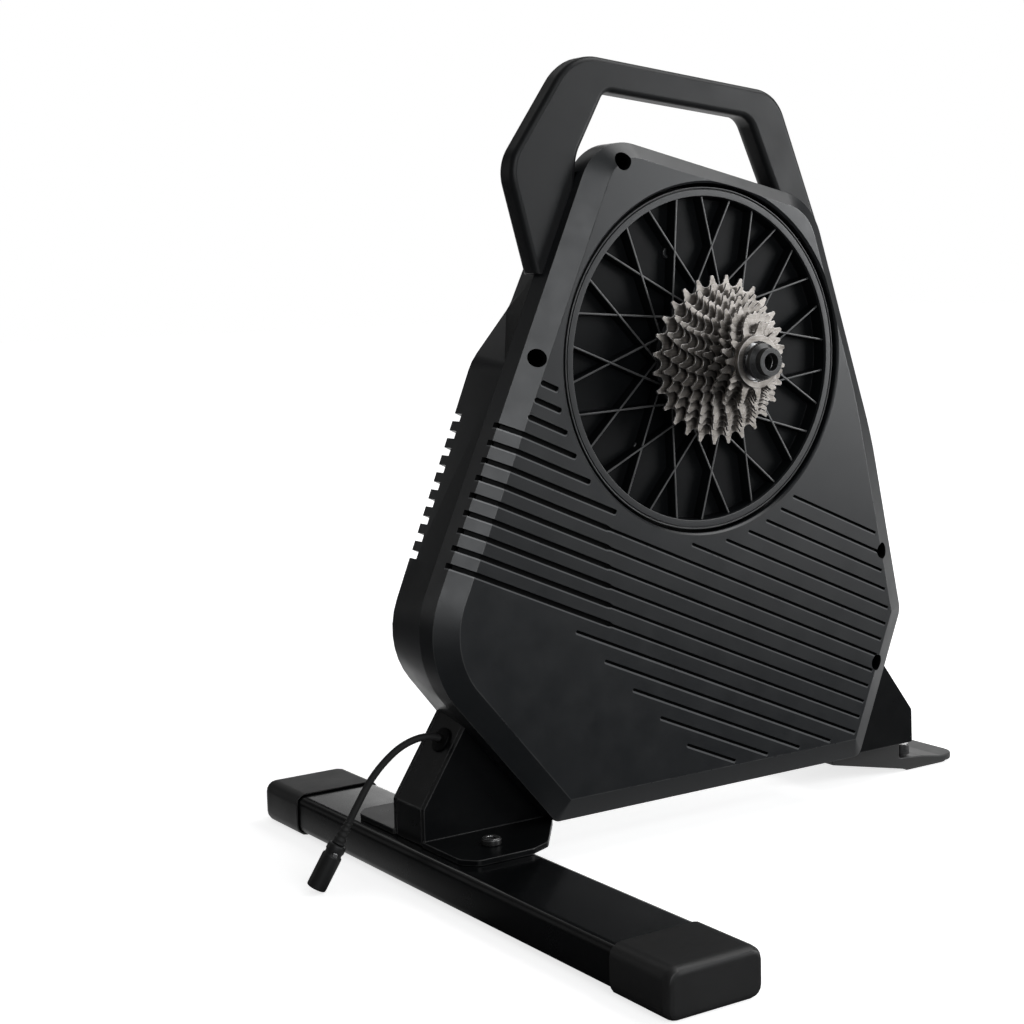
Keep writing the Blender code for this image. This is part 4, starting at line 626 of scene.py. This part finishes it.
def slat_end(offset):
    """Where a slot's line meets the face's edge at the front or the bottom."""
    corners = moved_corners(DRIVE_OUTLINE, [FACE_BORDER] * len(DRIVE_OUTLINE))
    ends = []
    for a, b in zip(corners, corners[1:] + corners[:1]):
        start, side = Vector(a[:2]) - SLAT_UP * offset, Vector(b[:2]) - Vector(a[:2])
        across = SLAT_ALONG.cross(side)
        if abs(across) > LEAST_CROSSING and 0 <= start.cross(SLAT_ALONG) / across <= 1:
            ends.append(start.cross(side) / across)
    return max(ends)


def drive_slots(grow):
    """Outlines of every louvre slot: three short ones, nine open at the rear bevel, five low ones."""
    slots = []
    clear = OPENING + OPENING_BORDER
    for index in range(SLATS):
        offset = -FIRST_SLAT - SLAT_PITCH * index
        end, jog, start = slat_end(offset), along_slat(SLAT_JOG_X, offset), along_slat(REAR_CORNER_X, offset)
        if index < SHORT_SLATS:
            start = along_slat(SHORT_SLAT_X + SHORT_SLAT_SHIFT * index, offset)
        if index >= BEVEL_SLATS:
            start = (LOW_SLAT_DIAGONAL - offset * (SLAT_UP.x + SLAT_UP.y)) / (SLAT_ALONG.x + SLAT_ALONG.y)
            slots.append(slot_outline(offset, start + grow * LOW_LIP_SHIFT, end, start, grow=grow * LOW_LIP_GROWTH))
        elif -offset < clear:  # the opening cuts this slot in two
            crossing = math.sqrt(clear ** 2 - offset ** 2)
            slots.append(slot_outline(offset, start, -crossing, grow=grow))
            slots.append(slot_outline(offset, crossing, end, crossing, grow=grow))
        else:
            slots.append(slot_outline(offset, start, end, jog, grow=grow))
    return slots


def slot_tool(grow, depth, index):
    """Every slot as one cutting shape that stops at a depth below the cover's surface. Its cut faces take the finish at
    the index: painted shade for the slots, a painted highlight for their lips.
    """
    tool = bmesh.new()
    for outline in drive_slots(grow):
        add_to(tool, through_sections([(CUTTER_FRONT, outline), (SLOT_BACK, outline)]))
    return give_finish(carve(tool, through_sections(cover_sections(depth, SLOT_TOOL_BACK))), index)


def well_tool():
    """The screw wells as one cutting shape, whose cut faces take painted shade."""
    wells = bmesh.new()
    for x, z in SCREW_WELLS:
        well = lay_down(spin_profile([(0, WELL_DEPTH), (WELL_RADIUS, WELL_DEPTH), (WELL_RADIUS, CUTTER_FRONT),
                                      (0, CUTTER_FRONT)], WELL_STEPS, False))
        move(well, (x, 0, z))
        add_to(wells, well)
    return give_finish(wells, SECOND)


def build_drive_cover():
    shell = soften(through_sections(cover_sections(0.0, SEAM)), COVER_ROUND, angle=COVER_CREASE)
    hollow = through_sections(cover_sections(WALL, SEAM + HOLLOW_PAST_SEAM))
    opening = lay_down(spin_profile(OPENING_PROFILE, OPENING_STEPS, False))
    # lips: a lighter painted highlight under each slot; slots: near-black painted shade
    lips = slot_tool(LIP_GROWTH, SLAT_LIP, THIRD)
    slots = slot_tool(0.0, SLAT_DEPTH, SECOND)
    wells = well_tool()
    handle = rounded(moved_corners(HANDLE_OUTLINE, [HANDLE_SPACE] * len(HANDLE_OUTLINE)), HANDLE_STEPS)
    # the handle's seat takes painted shade
    handle_space = give_finish(through_sections([(depth, handle) for depth in HANDLE_SPACE_DEPTHS]), SECOND)
    cover = crisp(carve(shell, hollow, opening, lips, slots, wells, handle_space))
    add_piece("drive_side_cover", cover, "chassis", *COVER_FINISHES)


# --- flywheel-side housing ---

FAR_OUTLINE = [(-0.0790, 0.1310, 0.034), (0.1040, 0.1050, 0.045), (0.1600, -0.0670, 0.400), (0.1900, -0.2050, 0.018),
               (0.1480, -0.3130, 0.008), (-0.1330, -0.3130, 0.006), (-0.2344, -0.1862, 0.056), (-0.1555, 0.0050, 0.040),
               (-0.1225, 0.0420, 0.030)]
NOTCH_DEPTH, NOTCH_WIDTH, NOTCH_RISE, NOTCH_SPAN = 0.0046, 0.0056, 0.0032, (0.0595, 0.0830)
FLOOR_NEAR, FLOOR_FAR, FLOOR_END, FLOOR_END_INSET = 0.0500, 0.0685, 0.0690, 0.0120


def build_housing():
    """The CAD housing with deeper, round-bottomed notches across its rear bevel."""
    notches = bmesh.new()
    for index in range(SHORT_SLATS, BEVEL_SLATS):
        offset = NOTCH_RISE - FIRST_SLAT - SLAT_PITCH * index
        start, stop = along_slat(REAR_CORNER_X, offset), along_slat(SLAT_JOG_X, offset)
        outline = slot_outline(offset, start, stop, width=NOTCH_WIDTH)
        add_to(notches, through_sections([(depth, outline) for depth in NOTCH_SPAN]))
    floor = through_sections([(FLOOR_NEAR, inset_outline(DRIVE_OUTLINE, NOTCH_DEPTH)),
                              (FLOOR_FAR, inset_outline(FAR_OUTLINE, NOTCH_DEPTH)),
                              (FLOOR_END, inset_outline(FAR_OUTLINE, FLOOR_END_INSET))])
    housing = carve(node_mesh("flywheel_side_cover"), carve(notches, floor))
    soften(housing, HOUSING_ROUND, angle=COVER_CREASE)
    add_piece("flywheel_side_cover", crisp(housing), "chassis", "cover_plastic")


# --- screws and bolts ---

HEAD_TOP, HEAD_CHAMFER, HEAD_SIDE, SOCKET_DEPTH, HEAD_ROUND = 0.86, 0.22, 0.78, 0.7, 0.045  # shares of the head
BOLT_HEADS = {"bar_bolt_near": 0.0045, "bar_bolt_far": 0.0045, "foot_bolt": 0.0045, "toe_bolt": 0.0090}
BOLT_HEAD_RADIUS, BOLT_SOCKET, SHANK, SHANK_TIP, TIP_HEIGHT = 0.0068, 0.52, 0.0040, 0.0036, 0.0006
# the second value: how far below the head's top a face takes bright steel as a painted glint
SHANK_OVERLAP, PAINTED_GLINT_TOP = 0.0002, 0.0003
HEAD_STEPS, BOLT_STEPS, HEAD_CREASE = 36, 32, 35


def socket_screw(radius, height, socket=0.55):
    """Round screw head that stands on z = 0, with a hexagon socket in its top."""
    bm = bmesh.new()
    rim = bmesh.ops.create_circle(bm, cap_ends=False, radius=radius * HEAD_TOP, segments=HEAD_STEPS)["verts"]
    move(bm, (0, 0, height), rim)
    rim_edges = bm.edges[:]
    hexagon = bmesh.ops.create_circle(bm, cap_ends=False, radius=radius * socket, segments=6)["verts"]
    move(bm, (0, 0, height), hexagon)
    hexagon_edges = [e for e in bm.edges if e not in rim_edges]
    bmesh.ops.bridge_loops(bm, edges=rim_edges + hexagon_edges)
    sunk = bmesh.ops.extrude_edge_only(bm, edges=hexagon_edges)["geom"]
    move(bm, (0, 0, -height * SOCKET_DEPTH), verts_of(sunk))
    bmesh.ops.contextual_create(bm, geom=edges_of(sunk))
    chamfer = bmesh.ops.extrude_edge_only(bm, edges=rim_edges)["geom"]
    bmesh.ops.scale(bm, vec=(1 / HEAD_TOP, 1 / HEAD_TOP, 1), verts=verts_of(chamfer))
    move(bm, (0, 0, -height * HEAD_CHAMFER), verts_of(chamfer))
    side = bmesh.ops.extrude_edge_only(bm, edges=edges_of(chamfer))["geom"]
    move(bm, (0, 0, -height * HEAD_SIDE), verts_of(side))
    bmesh.ops.contextual_create(bm, geom=edges_of(side))
    outward(bm)
    return soften(bm, radius * HEAD_ROUND, 1, HEAD_CREASE)


def build_bolt(node, head):
    """Socket-head bolt where the CAD bolt stands, black with a painted glint of bright steel on its head's top."""
    bm = node_mesh(node)
    low, high = (Vector(f(v.co[k] for v in bm.verts) for k in range(3)) for f in (min, max))
    bm.free()
    top = high.z - head + SHANK_OVERLAP
    shank = [(0, low.z), (SHANK_TIP, low.z), (SHANK, low.z + TIP_HEIGHT), (SHANK, top), (0, top)]
    bolt = spin_profile(shank, BOLT_STEPS, False)
    cap = socket_screw(BOLT_HEAD_RADIUS, head, BOLT_SOCKET)
    move(cap, (0, 0, high.z - head))
    # the head's top faces take bright steel: a painted glint
    for face in cap.faces:
        face.material_index = SECOND if face.calc_center_median().z > high.z - PAINTED_GLINT_TOP else MAIN
    add_to(bolt, cap)
    move(bolt, ((low.x + high.x) / 2, (low.y + high.y) / 2, 0))
    add_piece(node, bolt, "chassis", "black_steel", "steel")


# --- drive pulley: grooved rim, ribbed web, fixing screws ---

PULLEY_RIM, PULLEY_BACK, RIM_INNER, WEB_FRONT = 0.1215, 0.0234, 0.1148, 0.0150
PULLEY_PROFILE = [
    (PULLEY_RIM, 0.0030), (PULLEY_RIM, 0.0054), (0.1180, 0.0054), (0.1180, 0.0210), (PULLEY_RIM, 0.0210),
    (PULLEY_RIM, PULLEY_BACK), (RIM_INNER - 0.0026, PULLEY_BACK), (RIM_INNER - 0.0026, 0.0190),
    (0.0220, 0.0190), (0.0220, PULLEY_BACK), (0.0153, PULLEY_BACK), (0.0153, 0.0030), (0.0220, 0.0030),
    (0.0235, 0.0062), (0.0400, 0.0062), (0.0412, 0.0074), (0.0418, WEB_FRONT), (RIM_INNER - 0.0010, WEB_FRONT),
    (RIM_INNER, 0.0052), (RIM_INNER + 0.0004, 0.0030), (0.1196, 0.0030), (0.1197, 0.0046), (0.1204, 0.0046),
    (0.1205, 0.0030)]
PULLEY_ROUND, PULLEY_STEPS = 0.00030, 144
WEB_FROM, WEB_TO, WEB_PAST = 0.0425, RIM_INNER - 0.0002, 0.0065
RIB_SPREAD, RIB_START, RIB_PAIRS = math.radians(18.0), math.radians(95.0), 15
RIB_HUB, RIB_RIM, RIB_WIDTH, RIB_TOP, RIB_STEP = 0.0530, 0.1120, 0.0015, 0.0062, 0.0002
RIB_INTO_RIM, RIB_INTO_HUB, RIB_INTO_WEB, RIB_FOOT = 0.0030, 0.0150, 0.0005, 1.7
# rib bevel angle; the edge mark of the crest's painted highlight, and the facings that pick the crest faces for it
RIB_CREASE, CREST_PAINTED_HIGHLIGHT, CREST_HIGHLIGHT_FACING, CREST_LIT_FACING = 60, 0.8, -0.5, -0.3
PULLEY_SCREWS = [(0.0800, math.radians(angle)) for angle in (108, 228, 348)]
SCREW_RADIUS, SCREW_HEIGHT = 0.0040, 0.0022


def rib_between(start, end, top):
    """One rib of the web, tapered to a thin rounded crest: its crest gets a painted highlight, its sides the web's
    painted shade.
    """
    depth = WEB_FRONT + RIB_INTO_WEB - top
    bm = block(((end - start).length, RIB_WIDTH, depth))
    for vert in bm.verts:
        if vert.co.z > 0:
            vert.co.y *= RIB_FOOT
    soften(bm, PULLEY_ROUND, 1, RIB_CREASE)
    mark = bm.faces.layers.float["edge"]
    # painted highlight on the crest, painted shade on the sides
    for face in bm.faces:
        face[mark] = CREST_PAINTED_HIGHLIGHT if face.normal.z < CREST_HIGHLIGHT_FACING else 0.0
        face.material_index = MAIN if face.normal.z < CREST_LIT_FACING else SECOND
    turn(bm, math.atan2(end.y - start.y, end.x - start.x))
    middle = (start + end) / 2
    move(bm, (middle.x, middle.y, top + depth / 2))
    return bm


def build_pulley():
    bm = soften(spin_profile(PULLEY_PROFILE, PULLEY_STEPS), PULLEY_ROUND)
    for face in bm.faces:
        # the web's faces take the darker finish: painted shade
        spot = face.calc_center_median()
        if WEB_FROM < math.hypot(spot.x, spot.y) < WEB_TO and spot.z > WEB_PAST:
            face.material_index = SECOND
    for k in range(RIB_PAIRS):
        for hand in (1, -1):
            angle = RIB_START + 2 * math.pi * k / RIB_PAIRS
            far_angle = angle + hand * RIB_SPREAD
            hub_end = Vector((math.cos(angle), math.sin(angle), 0)) * RIB_HUB
            rim_end = Vector((math.cos(far_angle), math.sin(far_angle), 0)) * RIB_RIM
            along = (rim_end - hub_end).normalized()
            rim_end += along * RIB_INTO_RIM
            hub_end -= along * RIB_INTO_HUB
            add_to(bm, rib_between(hub_end, rim_end, RIB_TOP + RIB_STEP * hand))
    for radius, angle in PULLEY_SCREWS:
        screw = socket_screw(SCREW_RADIUS, SCREW_HEIGHT)
        turn(screw, math.pi, "X")
        move(screw, (radius * math.cos(angle), radius * math.sin(angle), WEB_FRONT))
        add_to(bm, screw)
    add_piece("drive_pulley", lay_down(bm), "pulley", "pulley_plastic", "pulley_web_painted_shade")


# --- strain relief and connector ---

RELIEF_RIBS, RELIEF_STEP, RELIEF_GROWTH, FIRST_RIB = 4, 0.0038, 0.00045, (0.0004, 0.0031)
RIB_SHAPE = [(-0.0006, 0.0), (-0.0001, 0.0004), (0.0, 0.0012), (-0.0001, 0.0020), (-0.0006, 0.0025)]
RELIEF_NOSE, RELIEF_END = [(0.0, 0.0), (0.0027, 0.0)], [(0.0044, 0.0154), (0.0048, 0.0158), (0.0, 0.0158)]
PLUG_LENGTH, PLUG_SOCKET_DEPTH = 0.0335, 0.0100
PLUG_PROFILE = [
    (0.0, 0.0), (0.0050, 0.0), (0.0060, 0.0006), (0.0066, 0.0018), (0.0066, 0.0052), (0.0060, 0.0058),
    (0.0060, 0.0078), (0.0068, 0.0084), (0.0070, 0.0094), (0.0070, PLUG_LENGTH - 0.0012),
    (0.0066, PLUG_LENGTH - 0.0003), (0.0060, PLUG_LENGTH), (0.0044, PLUG_LENGTH), (0.0040, PLUG_LENGTH - 0.0004),
    (0.0040, PLUG_LENGTH - PLUG_SOCKET_DEPTH), (0.0, PLUG_LENGTH - PLUG_SOCKET_DEPTH)]
LUG_SIZE, LUG_PLACE, LUG_ROUND, LUG_CREASE = (0.0014, 0.0030, 0.0030), (0.0062, 0.0068), 0.0003, 30
RELIEF_STEPS, PLUG_STEPS = 40, 64


def along_plug(bm, start):
    """Turns a shape that stands on z = 0 down the plug's line and puts it at a start from the hub."""
    bmesh.ops.rotate(bm, verts=bm.verts[:], cent=(0, 0, 0), matrix=PLUG_TILT.to_track_quat("Z", "Y").to_matrix())
    move(bm, start + HUB)
    return bm


def build_relief():
    """Strain relief with four rounded ribs that grow towards the plug."""
    outline = list(RELIEF_NOSE)
    for rib in range(RELIEF_RIBS):
        base, radius = FIRST_RIB[0] + rib * RELIEF_STEP, FIRST_RIB[1] + rib * RELIEF_GROWTH
        outline += [(radius + out, base + up) for out, up in RIB_SHAPE]
    bm = along_plug(spin_profile(outline + RELIEF_END, RELIEF_STEPS, False), RELIEF_START)
    add_piece("cord_strain_relief", bm, "chassis", "rubber")


def build_plug():
    """Round connector: collar with two bright latch lugs, a waist, a plain grip and an open socket."""
    bm = spin_profile(PLUG_PROFILE, PLUG_STEPS, False)
    for side in (-1, 1):
        lug = soften(block(LUG_SIZE), LUG_ROUND, angle=LUG_CREASE)
        move(lug, (side * LUG_PLACE[0], 0, LUG_PLACE[1]))
        add_to(bm, give_finish(lug, SECOND))
    add_piece("power_connector", along_plug(bm, PLUG_START), "chassis", "cap_plastic", "steel")


# --- cassette: eleven sprockets with roller seats, and the spacers between them ---

SPROCKET_TEETH = [28, 25, 23, 21, 19, 17, 15, 14, 13, 12, 11]
CHAIN_PITCH, ROLLER_SEAT, TOOTH_RISE = 0.0127, 0.0041, 0.0030
SEAT_ANGLES = (-85, -58, -29, 0, 29, 58, 85)
TOOTH_FLANK = (  # share of the tooth's step, rise above the pitch circle
    (0.372, 0.0008), (0.380, 0.0018), (0.400, 0.0026), (0.430, TOOTH_RISE), (0.470, TOOTH_RISE + 0.0001))
SPROCKET_GAP, SPROCKET_THICK, SPROCKET_BACK, SPROCKET_TURN = 0.00374, 0.0018, -0.0130, 0.11
SPROCKET_BORE, SPACER_RADIUS, TOOTH_ROUND = 0.0172, 0.0192, 0.00032
TIP_FROM, TIP_AREA = 0.0008, 0.00002
TOOTH_CREASE, SHEET_FLAT, SPACER_STEPS = 50, 0.01, 48


def build_sprocket(teeth):
    """Toothed ring: a seat for each roller and a narrow tooth with a rounded tip between two seats."""
    pitch_radius = CHAIN_PITCH / (2 * math.sin(math.pi / teeth))
    step = 2 * math.pi / teeth
    outline = []
    for angle in map(math.radians, SEAT_ANGLES):
        outline.append((pitch_radius - ROLLER_SEAT * math.cos(angle), ROLLER_SEAT * math.sin(angle)))
    for share, rise in TOOTH_FLANK:
        radius, angle = pitch_radius + rise, step * share
        outline.append((radius * math.cos(angle), radius * math.sin(angle)))
        outline.insert(0, (radius * math.cos(angle), -radius * math.sin(angle)))
    bm = bmesh.new()
    verts = [bm.verts.new((x, y, 0)) for x, y in outline]
    edges = [bm.edges.new(pair) for pair in zip(verts, verts[1:])]
    last = verts[-1]
    for k in range(1, teeth):
        fresh = verts_of(bmesh.ops.duplicate(bm, geom=verts + edges)["geom"])
        turn(bm, step * k, verts=fresh)
        fresh.sort(key=lambda v: (math.atan2(v.co.y, v.co.x) - step * k + math.pi) % (2 * math.pi))
        bm.edges.new((last, fresh[0]))
        last = fresh[-1]
    bm.edges.new((last, verts[0]))
    outer = bm.edges[:]
    bmesh.ops.create_circle(bm, cap_ends=False, radius=SPROCKET_BORE, segments=teeth * 2)
    known = set(outer)
    bmesh.ops.bridge_loops(bm, edges=outer + [e for e in bm.edges if e not in known])
    bmesh.ops.triangulate(bm, faces=bm.faces[:])
    bmesh.ops.dissolve_limit(bm, angle_limit=SHEET_FLAT, verts=[], edges=bm.edges[:])
    sheet = bmesh.ops.extrude_face_region(bm, geom=bm.faces[:])["geom"]
    move(bm, (0, 0, SPROCKET_THICK), verts_of(sheet))
    outward(bm)
    soften(bm, TOOTH_ROUND, angle=TOOTH_CREASE)
    mark = bm.faces.layers.float["edge"]
    for face in bm.faces:  # tooth tips are polished by the chain
        reach = math.hypot(*face.calc_center_median().xy)
        if reach > pitch_radius + TIP_FROM and face.calc_area() < TIP_AREA:
            face[mark] = 1.0
    return bm


def build_cassette():
    for index, teeth in enumerate(SPROCKET_TEETH):
        front = SPROCKET_BACK - SPROCKET_GAP * index - SPROCKET_THICK / 2
        bm = build_sprocket(teeth)
        move(bm, (0, 0, front))
        if teeth != SPROCKET_TEETH[-1]:
            next_back = front - (SPROCKET_GAP - SPROCKET_THICK)
            spacer = spin_profile([(SPROCKET_BORE, next_back), (SPACER_RADIUS, next_back), (SPACER_RADIUS, front),
                                   (SPROCKET_BORE, front)], SPACER_STEPS)
            add_to(bm, give_finish(spacer, SECOND))
        turn(bm, index * SPROCKET_TURN)
        add_piece(f"sprocket_{teeth}_tooth", lay_down(bm), "cassette", "cassette_steel", "black_steel")


# --- every other node: the CAD's own shape with softened edges ---

OTHER_FINISH = ("steel", 0.0002)  # finish, width of its softened edges
LEVEL = 0.95
NODE_FINISH = {
    "chassis_plate_drive_side": ("chassis_paint", 0.0005), "chassis_plate_flywheel_side": ("chassis_paint", 0.0005),
    "rear_web": ("chassis_paint", 0.0008), "front_cross_plate": ("chassis_paint", 0.0005),
    "base_bar": ("chassis_paint", 0.0006), "bar_end_cap_near": ("cap_plastic", 0.0007),
    "bar_end_cap_far": ("cap_plastic", 0.0007), "front_foot": ("cap_plastic", 0.0008),
    "front_foot_pad": ("rubber", 0.0004), "cable_grommet": ("black_and_painted_shade", 0.0004),
    "hub_axle": ("steel", 0.0003), "axle_end_cap_drive_side": ("black_steel", 0.0003),
    "axle_end_cap_flywheel_side": ("black_steel", 0.0003), "freehub_body": ("steel", 0.0003),
    "cassette_lockring": ("cassette_steel", 0.0003), "belt_idler": ("steel", 0.0003),
    "flywheel": ("cast_iron", 0.0008), "flywheel_shaft": ("steel", 0.0003), "flywheel_pulley": ("steel", 0.0003),
    "drive_belt": ("rubber", 0.0003), "control_board": ("board", 0.0001), "idler_arm": ("steel", 0.0003),
    "brake_stator": ("steel", 0.0003),
}
UNCLAMPED = {"chassis_plate_drive_side", "chassis_plate_flywheel_side", "rear_web", "front_foot"}


def build_other_nodes():
    bodies = frame["record"]["behaviour"]["bodies"]
    body_of = {node: body for body, members in bodies.items() for node in members}
    for node in sorted(body_of):
        if node == "power_cord" or frame["nodes"][node].hide_render:
            continue
        finish, width = NODE_FINISH.get(node, OTHER_FINISH)
        finishes = ["copper" if node.startswith("brake_coil") else finish]
        bm = soften(node_mesh(node), width, clamp=node not in UNCLAMPED)
        if node == "base_bar":  # the bar's top is glossier than its sides
            finishes.append("bar_paint")
            for face in bm.faces:
                face.material_index = SECOND if face.normal.z > LEVEL else MAIN
        add_piece(node, bm, body_of[node], *finishes)


# --- floor, world and lamps ---

WHITE = (1, 1, 1, 1)
FLOOR_HALF, FLOOR_DROP, FLOOR_PALE, FLOOR_DARK = 12, -0.0002, (0.78, 0.78, 0.78, 1), (0.08, 0.08, 0.085, 1)
FLOOR_BEHIND = {"X": (-0.31, -0.27), "Y": (-0.05, 0.10)}
FLOOR_BESIDE = {"X": (0.35, 1.15), "Y": (0.10, -0.05)}
FLOOR_WHITE, FLOOR_ROUGH, FLOOR_GLOW, BESIDE_SHARE = (0.7, 1.6, 0.74, 1.0), 0.9, 0.50, 0.9
SKY_SWEEP = {"Z": (0.275, 0.305, 1.0, 0.0), "Y": (0.3, 0.6), "X": (0.30, 0.48)}
SKY_ABOVE = {"Z": (0.50, 0.58), "Y": (0.3, 0.6), "X": (-0.30, -0.18)}
SWEEP_GLOW, ABOVE_SHARE, DARK_GLOW, FILL = 0.96, 0.75, 0.04, 0.16
COOL = (0.96, 0.98, 1.0)
LAMPS = [  # name, place, target, size, power, colour
    ("front_softbox", (2.38, -1.95, 0.96), (2.38, 0, 0.96), (1.7, 1.4), 43, COOL),
    ("left_softbox", (-0.65, -1.95, 1.00), (-0.65, 0, 1.00), (1.1, 1.4), 17, COOL),
    ("top_softbox", (1.1, -0.5, 2.1), (0, 0, 0.3), (1.6, 1.4), 26, WHITE[:3]),
    ("right_softbox", (2.3, -1.3, 0.60), (0, 0, 0.4), (1.1, 1.1), 16, WHITE[:3]),
    ("rear_fill", (-2.2, 2.4, 1.0), (-0.1, 0, 0.4), (1.6, 1.4), 3, WHITE[:3]),
    ("back_softbox", (1.9, 1.9, 0.9), (0, 0, 0.35), (1.4, 1.0), 5, WHITE[:3]),
]


def camera_and_gloss(nodes):
    """Two factors: 1 for rays straight from the camera, and 1 for reflected rays."""
    seen = nodes.add("ShaderNodeLightPath").outputs
    direct = nodes.math("ADD", seen["Is Camera Ray"], seen["Is Transmission Ray"], clamp=True)
    return direct, seen["Is Glossy Ray"]


def build_floor():
    """Near white to the camera, whiter farther out, with the object's faint shadow.

    Reflections see it pale behind the object and glowing there and at the front right, and dark elsewhere.
    """
    bm = bmesh.new()
    bmesh.ops.create_grid(bm, x_segments=1, y_segments=1, size=FLOOR_HALF)
    mesh = bpy.data.meshes.new("studio_floor")
    bm.to_mesh(mesh)
    bm.free()
    floor = link_object("studio_floor", mesh)
    floor.location.z = FLOOR_DROP
    material = bpy.data.materials.new("studio_floor")
    nodes = empty_tree(material)
    direct, glossy = camera_and_gloss(nodes)
    spot = nodes.add("ShaderNodeSeparateXYZ", {"Vector": nodes.place()}).outputs
    behind, beside = nodes.patch(spot, FLOOR_BEHIND), nodes.patch(spot, FLOOR_BESIDE)
    pale = nodes.math("ADD", behind, nodes.math("MULTIPLY", beside, BESIDE_SHARE), clamp=True)
    gloss = nodes.math("MULTIPLY", glossy, pale)
    away = nodes.add("ShaderNodeVectorMath", {0: nodes.place()}, operation="LENGTH").outputs["Value"]
    white = nodes.span(away, *FLOOR_WHITE)
    shown = nodes.math("ADD", nodes.math("MULTIPLY", direct, white), nodes.math("MULTIPLY", gloss, FLOOR_GLOW))
    dark = nodes.math("MULTIPLY", glossy, nodes.math("SUBTRACT", 1.0, behind))
    shader = nodes.add("ShaderNodeBsdfPrincipled", {
        "Base Color": nodes.mix(dark, FLOOR_PALE, FLOOR_DARK), "Roughness": FLOOR_ROUGH, "Specular IOR Level": 0.0,
        "Emission Color": WHITE, "Emission Strength": shown})
    nodes.put(shader.outputs[0], nodes.add("ShaderNodeOutputMaterial").inputs[0])
    mesh.materials.append(material)


def build_world():
    """White to the camera, and a soft grey fill.

    Reflections see a white sweep low down behind on the right, a dimmer patch high up behind, and near black
    elsewhere.
    """
    world = bpy.data.worlds.new("studio")
    bpy.context.scene.world = world
    nodes = empty_tree(world)
    direct, glossy = camera_and_gloss(nodes)
    way = nodes.add("ShaderNodeSeparateXYZ", {"Vector": nodes.place("Generated")}).outputs
    sweep, above = nodes.patch(way, SKY_SWEEP), nodes.patch(way, SKY_ABOVE)
    lit = nodes.math("ADD", sweep, nodes.math("MULTIPLY", above, ABOVE_SHARE), clamp=True)
    gloss = nodes.math("MULTIPLY", glossy, nodes.math("ADD", nodes.math("MULTIPLY", lit, SWEEP_GLOW), DARK_GLOW))
    rest = nodes.math("SUBTRACT", 1.0, nodes.math("ADD", direct, glossy, clamp=True), clamp=True)
    strength = nodes.math("ADD", nodes.math("ADD", direct, gloss), nodes.math("MULTIPLY", rest, FILL))
    back = nodes.add("ShaderNodeBackground", {"Color": WHITE, "Strength": strength})
    nodes.put(back.outputs[0], nodes.add("ShaderNodeOutputWorld").inputs[0])


def add_lamp(name, place, target, size, power, colour):
    data = bpy.data.lights.new(name, "AREA")
    data.shape, data.size, data.size_y = "RECTANGLE", size[0], size[1]
    data.energy, data.color = power, colour
    lamp = link_object(name, data)
    lamp.location = place
    lamp.rotation_euler = (Vector(target) - Vector(place)).to_track_quat("-Z", "Y").to_euler()


# --- everything in its place ---

build_camera()
build_finishes()
build_handle()
build_pulley()
build_drive_cover()
build_housing()
for bolt, head in BOLT_HEADS.items():
    build_bolt(bolt, head)
build_relief()
build_plug()
build_cassette()
build_other_nodes()
build_lead()
build_floor()
build_world()
for lamp in LAMPS:
    add_lamp(*lamp)

scene = bpy.context.scene
scene.view_settings.view_transform = "Standard"
